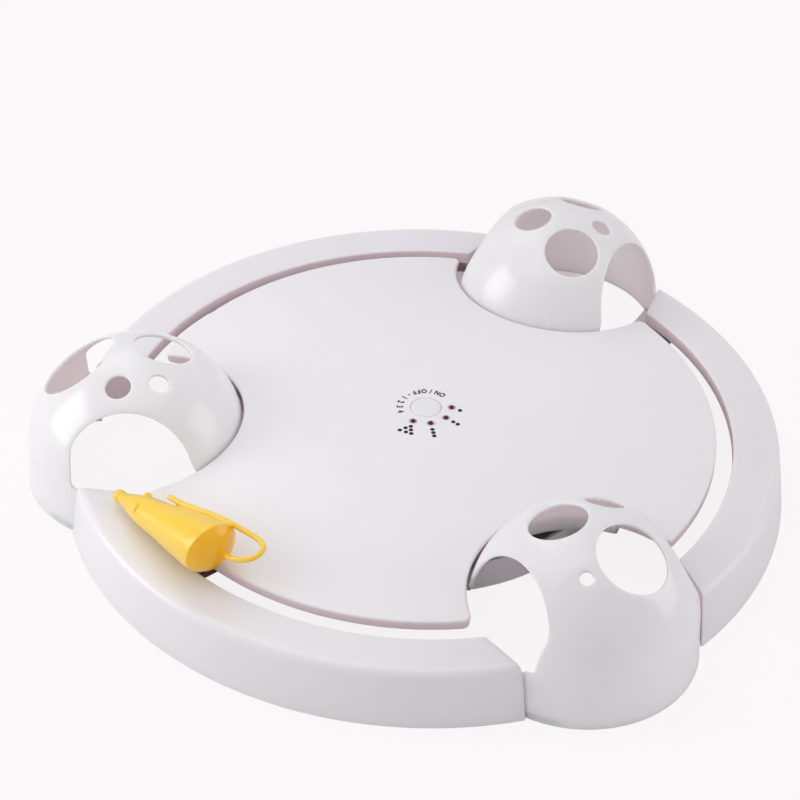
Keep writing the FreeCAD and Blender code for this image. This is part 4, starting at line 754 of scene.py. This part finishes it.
# Pieces under the platform: slot, material, colour, shade, roughness and what else the finish needs.
INNER_FINISHES = (
    # inner_grey: the white plastic under the platform painted darker and pink, a painted shade with a painted
    # glow of light through the plastic.
    ("inner_grey", "inner_grey", (0.66, 0.57, 0.59), (0.60, 0.52, 0.54), 0.5, {}),
    ("carrier_brown", "carrier_brown", (0.24, 0.13, 0.11), (0.21, 0.11, 0.095), 0.55, {}),
    ("gear_nylon", "gear_nylon", (0.70, 0.68, 0.60), (0.64, 0.61, 0.53), 0.45, {}),
    ("glide", "glide_white", (0.8, 0.8, 0.8), (0.75, 0.75, 0.75), 0.4, {}),
    ("foot_rubber", "foot_black", (0.02, 0.02, 0.02), (0.03, 0.03, 0.03), 0.8, {}),
    ("steel", "steel", (0.56, 0.56, 0.57), (0.50, 0.50, 0.51), 0.3, {"grain": 2500.0, "Metallic": 1.0}),
    ("spring_steel", "contact_nickel", (0.62, 0.60, 0.56), (0.55, 0.53, 0.49), 0.25, {"Metallic": 1.0}),
    ("brass", "pinion_brass", (0.66, 0.48, 0.18), (0.58, 0.42, 0.15), 0.28, {"Metallic": 1.0}),
    ("cell", "cell_jacket", (0.03, 0.03, 0.035), (0.04, 0.04, 0.045), 0.3, {"Coat_Weight": 0.3}),
    ("board_green", "board_green", (0.012, 0.09, 0.035), (0.015, 0.12, 0.045), 0.35, {}),
    ("black_part", "part_black", (0.012, 0.012, 0.014), (0.018, 0.018, 0.02), 0.4, {}),
)


def paint_wall_glow(material, colour):
    """A painted pink glow on upright faces, for light through the plastic into their shade, fading out toward
    level ones.
    """
    tree = material.node_tree
    shape = tree.nodes.new("ShaderNodeNewGeometry").outputs["True Normal"]
    rise = new_node(tree, "ShaderNodeSeparateXYZ", {"Vector": shape}).outputs["Z"]
    upright = ramp(tree, arithmetic(tree, "ABSOLUTE", rise), *UPRIGHT_FADE)
    blend = colour_mix(tree, upright, tree.nodes["Skin"].outputs["Colour"], (*colour, 1))
    tree.links.new(blend, tree.nodes["Principled BSDF"].inputs["Base Color"])


def tint_beyond(material, middle, facing, colour, fade, reach):
    """Another colour on a material beyond a plane through the middle; fade and reach are in mm."""
    tree = material.node_tree
    values = {"Colour": tree.nodes["Skin"].outputs["Colour"], "Tint": (*colour, 1), "Middle": middle * MM,
              "Facing": facing, "Fade": fade * MM, "Reach": reach * MM}
    tint = new_node(tree, "ShaderNodeGroup", values, node_tree=TINT)
    tree.links.new(tint.outputs["Colour"], tree.nodes["Principled BSDF"].inputs["Base Color"])


slot_materials = {"shell_white": shell_white, "dome_white": dome_white, "button_white": button_white,
                  "light_red": lens_red, "mouse_rubber": mouse_yellow}
for slot, name, colour, shade, roughness, more in INNER_FINISHES:
    slot_materials[slot] = moulded(name, colour, shade, roughness, **more)
for part in frame["record"]["subparts"]:
    node = frame["nodes"][part["node"]]
    node.data.materials.clear()
    node.data.materials.append(slot_materials[part["material_slot"]])
frame["nodes"]["platform_cover"].data.materials[0] = platform_white
# The platform's upright walls get a painted pink glow.
paint_wall_glow(platform_white, PLATFORM_WALL_PAINTED_GLOW)

# ---------------------------------------------------------------- mouse

NOSE_CENTRE = polar(172.3, 203.4, 39.2)
RUMP_CENTRE = polar(162.4, 228.5, 51.5)
NOSE_RADIUS = 3.7
NOSE_SETBACK = 4.2
MOUSE_LEAN = 15.0          # how far the widest circle leans back
MOUSE_TURN = -6.5          # and turns to the rotor's axis, in degrees
MOUSE_LEAN_START = 14.0    # distance behind the nose tip from which the body leans
MOUSE_TURNS = 72
MOUSE_CORE = 0.05          # least radius of a circle of the body
NOSE_ARC = (2.0, 124.0)    # stretch of the nose's ball that shows, in degrees from its tip
NOSE_STEPS = 10
REAR_TINT = (1.0, 0.50, 0.0)
REAR_TINT_FADE = 0.6
REAR_TINT_REACH = 15.6
# Cross sections: distance of the middle behind the nose tip, then radius.
MOUSE_SECTIONS = (
    (6.4, 3.0), (8.6, 3.3), (15.8, 5.5), (26.6, 8.0), (40.7, 9.8), (54.3, 12.0), (65.6, 13.6), (74.6, 14.8),
    (78.2, 14.95),
)
# The rear: distance behind the widest circle, then radius.
MOUSE_REAR = ((0.0, 14.9), (0.35, 14.5), (0.9, 13.95), (3.4, 11.7), (5.6, 8.4), (7.1, 4.3), (7.7, 0.0))
EAR_PLACES = ((22.6, 45.0), (26.5, 135.0))   # distance behind the nose tip, and lean round the body's line
EAR_LIFT = 7.0             # of an ear's middle from that line
EAR_HALF = (1.5, 2.3, 3.1)  # half its thickness, height and width
TAIL_RADIUS = 1.5
# The tail's line: distance behind the nose tip, distance out, and lean round the body's line.
TAIL_LINE = (
    (83.0, 0.5, 0.0), (85.7, 0.5, 0.0), (94.1, 0.6, 5.0), (101.0, 3.4, 12.0), (105.2, 8.0, 16.0),
    (105.3, 13.9, 18.0), (100.2, 16.1, 20.0), (93.5, 16.2, 24.0), (86.7, 15.9, 28.0), (80.8, 15.7, 34.0),
    (70.5, 15.2, 38.0), (60.1, 13.9, 42.0), (53.1, 12.9, 44.0), (45.1, 12.1, 44.0), (36.5, 12.1, 42.0),
)
MOUSE_VOXEL = 0.35


def mouse_axes():
    """Start of the mouse at its nose tip, and its directions: back, toward the rotor's axis, and up."""
    back = (RUMP_CENTRE - NOSE_CENTRE).normalized()
    inward = Vector((0, 0, 1)).cross(back).normalized()
    return NOSE_CENTRE - back * NOSE_SETBACK, back, inward, back.cross(inward)


def between(table, count):
    """Points along a smooth line through a table of pairs."""
    points = [tuple(2 * a - b for a, b in zip(table[0], table[1]))] + list(table)
    points.append(tuple(2 * a - b for a, b in zip(table[-1], table[-2])))
    line = []
    for before, here, after, onward in zip(points, points[1:], points[2:], points[3:]):
        for step in range(count):
            t = step / count
            line.append(tuple(0.5 * (2 * b + (c - a) * t + (2 * a - 5 * b + 4 * c - d) * t * t
                                     + (3 * b - a - 3 * c + d) * t ** 3)
                              for a, b, c, d in zip(before, here, after, onward)))
    return line + [tuple(table[-1])]


def mouse_spot(along, away, lean):
    """Point beside the mouse: distance behind the nose tip, distance out, and lean round its line."""
    start, back, inward, top = mouse_axes()
    angle = math.radians(lean)
    return start + back * along + (inward * math.cos(angle) + top * math.sin(angle)) * away


def circle_axes(share):
    """Directions across, up and through a circle of the body that has a share of the lean and turn."""
    back, inward, top = mouse_axes()[1:]
    lean, turn = math.radians(MOUSE_LEAN * share), math.radians(MOUSE_TURN * share)
    level = back * math.cos(turn) + inward * math.sin(turn)
    across = inward * math.cos(turn) - back * math.sin(turn)
    upward = top * math.cos(lean) + level * math.sin(lean)
    return across, upward, level * math.cos(lean) - top * math.sin(lean)


def mouse_circle(along, radius, behind=0.0):
    """A circle of the body, which leans and turns more toward the rump."""
    start, back = mouse_axes()[:2]
    whole = (RUMP_CENTRE - start).length
    across, upward, facing = circle_axes(max(0.0, (along - MOUSE_LEAN_START) / (whole - MOUSE_LEAN_START)))
    middle = start + back * along + facing * behind
    flat = arc((0.0, 0.0), max(radius, MOUSE_CORE), 0.0, 360.0, MOUSE_TURNS)[:-1]
    return [middle + across * sideways + upward * height for sideways, height in flat]


def mouse_shape():
    """Vertices and faces of the mouse's body, from its nose to its rear."""
    rows = []
    for step in range(NOSE_STEPS + 1):
        angle = math.radians(NOSE_ARC[0] + (NOSE_ARC[1] - NOSE_ARC[0]) * step / NOSE_STEPS)
        rows.append(mouse_circle(NOSE_SETBACK - NOSE_RADIUS * math.cos(angle), NOSE_RADIUS * math.sin(angle)))
    rows += [mouse_circle(along, radius) for along, radius in between(MOUSE_SECTIONS, 5)]
    whole = (RUMP_CENTRE - mouse_axes()[0]).length
    return closed(*rows, *(mouse_circle(whole, radius, behind) for behind, radius in between(MOUSE_REAR, 4)))


def tail_mesh():
    """The tail, round and of even thickness along a smooth line."""
    curve = bpy.data.curves.new("TailLine", "CURVE")
    curve.dimensions = "3D"
    curve.bevel_depth = TAIL_RADIUS * MM
    curve.bevel_resolution = 5
    curve.use_fill_caps = True
    line = curve.splines.new("NURBS")
    line.points.add(len(TAIL_LINE) - 1)
    for point, place in zip(line.points, TAIL_LINE):
        point.co = (*(mouse_spot(*place) * MM), 1)
    line.order_u = 3
    line.use_endpoint_u = True
    line.resolution_u = 10
    return drawn_mesh("TailLine", curve)


def build_mouse():
    """The mouse and its tail, joined into one skin."""
    tint_beyond(mouse_yellow, RUMP_CENTRE, circle_axes(1.0)[2], REAR_TINT, REAR_TINT_FADE, REAR_TINT_REACH)
    body = mesh_piece("mouse_skin", *mouse_shape(), [mouse_yellow])
    build = bmesh.new()
    build.from_mesh(body.data)
    start, back, inward, top = mouse_axes()
    for along, lean in EAR_PLACES:
        outward = inward * math.cos(math.radians(lean)) + top * math.sin(math.radians(lean))
        sideways = outward.cross(back)
        axes = Matrix((back * EAR_HALF[0], outward * EAR_HALF[1], sideways * EAR_HALF[2])).transposed() * MM
        place = Matrix.Translation(mouse_spot(along, EAR_LIFT, lean) * MM) @ axes.to_4x4()
        bmesh.ops.create_uvsphere(build, u_segments=24, v_segments=16, radius=1.0, matrix=place)
    build.from_mesh(tail_mesh())
    tip = Matrix.Translation(mouse_spot(*TAIL_LINE[-1]) * MM)
    bmesh.ops.create_uvsphere(build, u_segments=16, v_segments=10, radius=TAIL_RADIUS * MM, matrix=tip)
    build.to_mesh(body.data)
    build.free()

    skin = body.modifiers.new("OneSkin", "REMESH")
    skin.mode = "VOXEL"
    skin.voxel_size = MOUSE_VOXEL * MM
    skin.use_smooth_shade = True
    soft = body.modifiers.new("Soften", "SMOOTH")
    soft.factor = 0.5
    soft.iterations = 3
    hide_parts("mouse_body", "mouse_tail")
    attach(body, "mouse_carrier")


# ---------------------------------------------------------------- control panel

BUTTON_RADIUS = 8.3
BUTTON_TOP = 46.2
BUTTON_BOTTOM = 42.2
BUTTON_FLANGE_RADIUS = 9.7
BUTTON_FLANGE_TOP = 43.0
BUTTON_SHOULDER = 45.1     # height at which the rounding of its edge starts
BUTTON_ROUND = 0.8
BUTTON_CROWN = ((5.0, 46.06), (2.5, 46.16))   # radius and height of the crowned top
LIGHT_RADIUS = 1.95
LIGHT_ORBIT = 13.8
LIGHT_MIDDLE = -60.0
LIGHT_STEP = 40.0
LIGHT_BOTTOM = 38.5
LIGHT_SHOULDER = 45.4      # height at which a light's collar gives way to its lens
LENS_RADIUS = 1.45
LENS_MIDDLE = 45.5
COLLAR_PINK = (0.80, 0.52, 0.56)
COLLAR_TOP = 45.6
COLLAR_FADE = 0.1
WHOLE_LIGHT = 100.0        # the collar's colour goes all the way down
PRINT_LIFT = 0.03


def build_button():
    """The power button, with the flange that keeps it under the platform."""
    profile = [(LATHE_CORE, BUTTON_BOTTOM), (BUTTON_FLANGE_RADIUS, BUTTON_BOTTOM),
               (BUTTON_FLANGE_RADIUS, BUTTON_FLANGE_TOP), (BUTTON_RADIUS, BUTTON_FLANGE_TOP)]
    profile += arc((BUTTON_RADIUS - BUTTON_ROUND, BUTTON_SHOULDER), BUTTON_ROUND, 0, 80, 6)
    vertices, faces = lathe(profile + [*BUTTON_CROWN, (LATHE_CORE, BUTTON_TOP)], 72)
    piece = mesh_piece("button_cap", vertices, faces, [button_white])
    smooth_by_angle(piece, PANEL_SHARP)
    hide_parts("power_button")
    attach(piece, "push_button")


def build_lights():
    """Four lights round the button, each a red lens in a pink collar."""
    top = Vector((0, 0, COLLAR_TOP))
    tint_beyond(lens_red, top, Vector((0, 0, -1)), COLLAR_PINK, COLLAR_FADE, WHOLE_LIGHT)
    profile = [(LATHE_CORE, LIGHT_BOTTOM), (LIGHT_RADIUS, LIGHT_BOTTOM), (LIGHT_RADIUS, LIGHT_SHOULDER)]
    profile += arc((0.0, LENS_MIDDLE), LENS_RADIUS, 0, 89, 10)
    for number in range(4):
        vertices, faces = lathe(profile, 32)
        middle = polar(LIGHT_ORBIT, LIGHT_MIDDLE + (1.5 - number) * LIGHT_STEP)
        vertices = [vertex + middle for vertex in vertices]
        piece = mesh_piece("light_lens_%d" % (number + 1), vertices, faces, [lens_red])
        smooth_by_angle(piece, PANEL_SHARP)
        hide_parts("light_%d" % (number + 1))
        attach(piece, "stand")


# Printed dots beside the first and the last light, in the panel's own frame, which is turned
# against the rotor's axis. Then rows of dots outward of the two middle lights: bearing, distances.
PANEL_TURN = -153.0
DOTS = (
    (-15.2, 10.4), (14.7, 10.9), (17.7, 10.7), (21.2, 10.9), (15.9, 13.5), (19.1, 13.8), (17.2, 16.2),
)
DOT_ROWS = (
    (LIGHT_MIDDLE + 0.5 * LIGHT_STEP, (18.9, 21.9)),
    (LIGHT_MIDDLE - 0.5 * LIGHT_STEP, (19.0, 21.7, 24.4)),
)
DOT_RADIUS = 1.2
ARC_TEXT = "ON / OFF . 1 2 3 4"
ARC_RADIUS = 14.0
ARC_START = 44.0
ARC_STOP = 202.0
POINT_RADIUS = 0.55
LETTER_HEIGHT = 3.3
LETTER_SIZE = LETTER_HEIGHT / 0.70   # a capital is 0.70 of the letters' nominal size
LETTER_WEIGHT = 0.19
LETTER_NARROW = 0.8
LETTER_WIDTHS = {" ": 0.45, ".": 0.7, "/": 0.7, "F": 1.0, "O": 1.25, "N": 1.25}
DIGIT_WIDTH = 1.2


def on_panel(flat):
    """Point of the platform's surface, with the lift of the print, under a flat spot."""
    return Vector((flat.x, flat.y, crown_height(flat.x, flat.y) + PRINT_LIFT))


def printed_disc(middle, radius, steps):
    """Vertices and face of a round spot of print."""
    edge = [on_panel(middle + polar(radius, 360.0 * step / steps)) for step in range(steps)]
    return edge, [tuple(range(steps))]


def printed_letter(letter, bearing):
    """Vertices and faces of a letter of the arc, its top toward the button."""
    drawn = bpy.data.curves.new("Letter", "FONT")
    drawn.body = letter
    drawn.size = LETTER_SIZE
    drawn.align_x = "CENTER"
    drawn.resolution_u = 4
    drawn.offset = LETTER_WEIGHT
    flat = drawn_mesh("Letter", drawn)
    place = (Matrix.Rotation(math.radians(bearing - 90), 4, "Z")
             @ Matrix.Translation((0, ARC_RADIUS + LETTER_HEIGHT / 2, 0))
             @ Matrix.Rotation(math.pi, 4, "Z") @ Matrix.Diagonal((LETTER_NARROW, 1, 1, 1)))
    vertices = [on_panel(place @ vertex.co) for vertex in flat.vertices]
    return vertices, [tuple(face.vertices) for face in flat.polygons]


def lay_print(name, parts):
    """A piece of print from its spots or letters."""
    piece = mesh_piece(name, *gather(*parts), [print_navy], smooth=False)
    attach(piece, "stand")


def build_print():
    """Navy dots beside the lights and an arc of switch print, lying on the crowned platform."""
    turn = Matrix.Rotation(math.radians(PANEL_TURN), 4, "Z")
    spots = [turn @ Vector((x, y, 0)) for x, y in DOTS]
    spots += [polar(distance, bearing) for bearing, distances in DOT_ROWS for distance in distances]
    lay_print("panel_dots", [printed_disc(spot, DOT_RADIUS, 24) for spot in spots])

    widths = [LETTER_WIDTHS.get(letter, DIGIT_WIDTH) for letter in ARC_TEXT]
    parts = []
    for number, letter in enumerate(ARC_TEXT):
        share = (sum(widths[:number]) + widths[number] / 2) / sum(widths)
        bearing = ARC_START + (ARC_STOP - ARC_START) * share
        if letter == ".":
            parts.append(printed_disc(polar(ARC_RADIUS, bearing), POINT_RADIUS, 18))
        elif letter != " ":
            parts.append(printed_letter(letter, bearing))
    lay_print("panel_letters", parts)


# ---------------------------------------------------------------- stage

FLOOR_HALF = 6.0
FLOOR_PAINT = (0.88, 0.88, 0.88, 1)
FLOOR_ROUGHNESS = 0.9
FLOOR_WHITE = 0.9                      # how much of the floor that the camera sees is its own white
# Inside the far dome the floor's own white sinks to FLOOR_SHADE, over a soft spot, and turns to a painted
# pink shade. The spot shows only where the platform and ring or that dome stand over it: middle, then where
# they end.
FLOOR_SHADE = 0.4
FLOOR_PAINTED_SHADE_TINT = (0.78, 0.60, 0.65, 1)
FLOOR_SHADE_PLACE = (0.047, 0.186, 0.0)
FLOOR_SHADE_REACH = (0.044, 0.058)
FLOOR_COVERED = (((0.0, 0.0, 0.0), (0.190, 0.193)), (tuple(polar(DOME_ORBIT, 60.0) * MM), (0.056, 0.059)))

ROOM_TINT = (1.0, 0.985, 1.0, 1)
ROOM_STRENGTH = 0.65
LAMP_TINT = (1.0, 0.985, 0.995)
LAMP_SHAPE = 1.2                       # length over width
# Lamps: place and width in metres, then power in watts.
LAMPS = (
    ("SideSoftbox", (-1.05, -0.05, 0.40), 0.6, 3.8),
    ("RightSoftbox", (1.25, 0.0, 0.45), 0.7, 2.5),
    ("TopSoftbox", (-0.1, -0.02, 0.55), 0.4, 0.42),
    ("BackSoftbox", (-0.35, 0.55, 0.8), 0.5, 0.85),
)


def floor_material():
    """White floor: part of what the camera sees is its own white, and the rest is lit and shaded."""
    material = bpy.data.materials.new("floor_white")
    material.use_nodes = True
    tree = material.node_tree
    lit = tree.nodes["Principled BSDF"]
    lit.inputs["Base Color"].default_value = FLOOR_PAINT
    lit.inputs["Roughness"].default_value = FLOOR_ROUGHNESS
    place = tree.nodes.new("ShaderNodeTexCoord").outputs["Object"]

    def white_beyond(middle, reach, low=0.0, kind="LINEAR"):
        """The floor's own white, which grows from low to full across a reach from a middle."""
        return ramp(tree, offset(tree, "DISTANCE", place, middle, "Value"), *reach, low, FLOOR_WHITE, kind)

    shade = white_beyond(FLOOR_SHADE_PLACE, FLOOR_SHADE_REACH, FLOOR_SHADE, "SMOOTHSTEP")
    open_floor = arithmetic(tree, "MINIMUM", *(white_beyond(*cover) for cover in FLOOR_COVERED))
    own_white = arithmetic(tree, "MAXIMUM", shade, open_floor)
    # A painted pink shade in the spot, mixed into the floor's own white.
    colour = colour_mix(tree, own_white, FLOOR_PAINTED_SHADE_TINT, (1, 1, 1, 1))
    glow = new_node(tree, "ShaderNodeEmission", {"Color": colour})
    seen = tree.nodes.new("ShaderNodeLightPath").outputs["Is Camera Ray"]
    both = new_node(tree, "ShaderNodeMixShader", {"Fac": arithmetic(tree, "MULTIPLY", seen, own_white),
                                                  1: lit.outputs["BSDF"], 2: glow.outputs["Emission"]})
    tree.links.new(both.outputs["Shader"], tree.nodes["Material Output"].inputs["Surface"])
    return material


def build_floor():
    """A plain floor that reaches well past the camera's view."""
    corners = [(-FLOOR_HALF, -FLOOR_HALF, 0), (FLOOR_HALF, -FLOOR_HALF, 0), (FLOOR_HALF, FLOOR_HALF, 0),
               (-FLOOR_HALF, FLOOR_HALF, 0)]
    mesh = bpy.data.meshes.new("Floor")
    mesh.from_pydata(corners, [], [(0, 1, 2, 3)])
    mesh.materials.append(floor_material())
    floor = bpy.data.objects.new("Floor", mesh)
    bpy.context.scene.collection.objects.link(floor)


def build_room():
    """A plain pale room that the camera sees as white."""
    world = bpy.data.worlds.new("Studio")
    bpy.context.scene.world = world
    world.use_nodes = True
    tree = world.node_tree
    room = tree.nodes["Background"]
    room.inputs["Color"].default_value = ROOM_TINT
    room.inputs["Strength"].default_value = ROOM_STRENGTH
    white = new_node(tree, "ShaderNodeBackground", {"Color": (1, 1, 1, 1), "Strength": 1.0})
    seen = tree.nodes.new("ShaderNodeLightPath").outputs["Is Camera Ray"]
    both = new_node(tree, "ShaderNodeMixShader", {"Fac": seen, 1: room.outputs["Background"],
                                                  2: white.outputs["Background"]})
    tree.links.new(both.outputs["Shader"], tree.nodes["World Output"].inputs["Surface"])


def build_lamps():
    """Soft lamps that all face the toy's middle."""
    for name, place, size, power in LAMPS:
        lamp = bpy.data.lights.new(name, "AREA")
        lamp.shape = "RECTANGLE"
        lamp.size = size
        lamp.size_y = LAMP_SHAPE * size
        lamp.energy = power
        lamp.color = LAMP_TINT
        light = bpy.data.objects.new(name, lamp)
        light.location = place
        light.rotation_euler = (-Vector(place)).to_track_quat("-Z", "Y").to_euler()
        bpy.context.scene.collection.objects.link(light)


# Camera, found from the circles of the platform, the ring and the domes.
FRAME_WIDTH = 800.0            # pixels
CAMERA_FOCAL = 2506.1          # in those pixels
CAMERA_DISTANCE = 1370.4
CAMERA_ELEVATION = 39.863
CAMERA_BEARING = -1.412
CAMERA_YAW = 0.596
CAMERA_PITCH = -1.647
CAMERA_ROLL = 1.450


def build_camera():
    """Camera that looks at the origin, then is turned a little about its own axes."""
    around = Matrix.Rotation(math.radians(CAMERA_BEARING), 3, "Z")
    rise = math.radians(CAMERA_ELEVATION)
    place = around @ Vector((0, -math.cos(rise), math.sin(rise))) * CAMERA_DISTANCE
    ahead = -place.normalized()
    right = ahead.cross(Vector((0, 0, 1))).normalized()
    down = ahead.cross(right)
    rows = Matrix((right, down, ahead))
    turn = (Matrix.Rotation(math.radians(CAMERA_ROLL), 3, "Z")
            @ Matrix.Rotation(math.radians(CAMERA_PITCH), 3, "X")
            @ Matrix.Rotation(math.radians(CAMERA_YAW), 3, "Y"))
    rows = turn @ rows
    lens = bpy.data.cameras.new("Camera")
    lens.sensor_fit = "HORIZONTAL"
    lens.sensor_width = 36.0
    lens.lens = CAMERA_FOCAL / FRAME_WIDTH * lens.sensor_width
    lens.clip_end = 50.0
    camera = bpy.data.objects.new("Camera", lens)
    axes = Matrix((rows[0], -rows[1], -rows[2])).transposed()
    camera.matrix_world = Matrix.Translation(place * MM) @ axes.to_4x4()
    bpy.context.scene.collection.objects.link(camera)
    bpy.context.scene.camera = camera


for number, (bearing, holes) in enumerate(zip(DOME_BEARINGS, PLAY_HOLES), start=1):
    build_dome(number, bearing, holes)
    build_ring_segment(number, bearing, bearing + DOME_STEP)
build_mouse()
build_button()
build_lights()
build_print()
build_floor()
build_room()
build_lamps()
build_camera()
bpy.context.scene.view_settings.view_transform = "Standard"
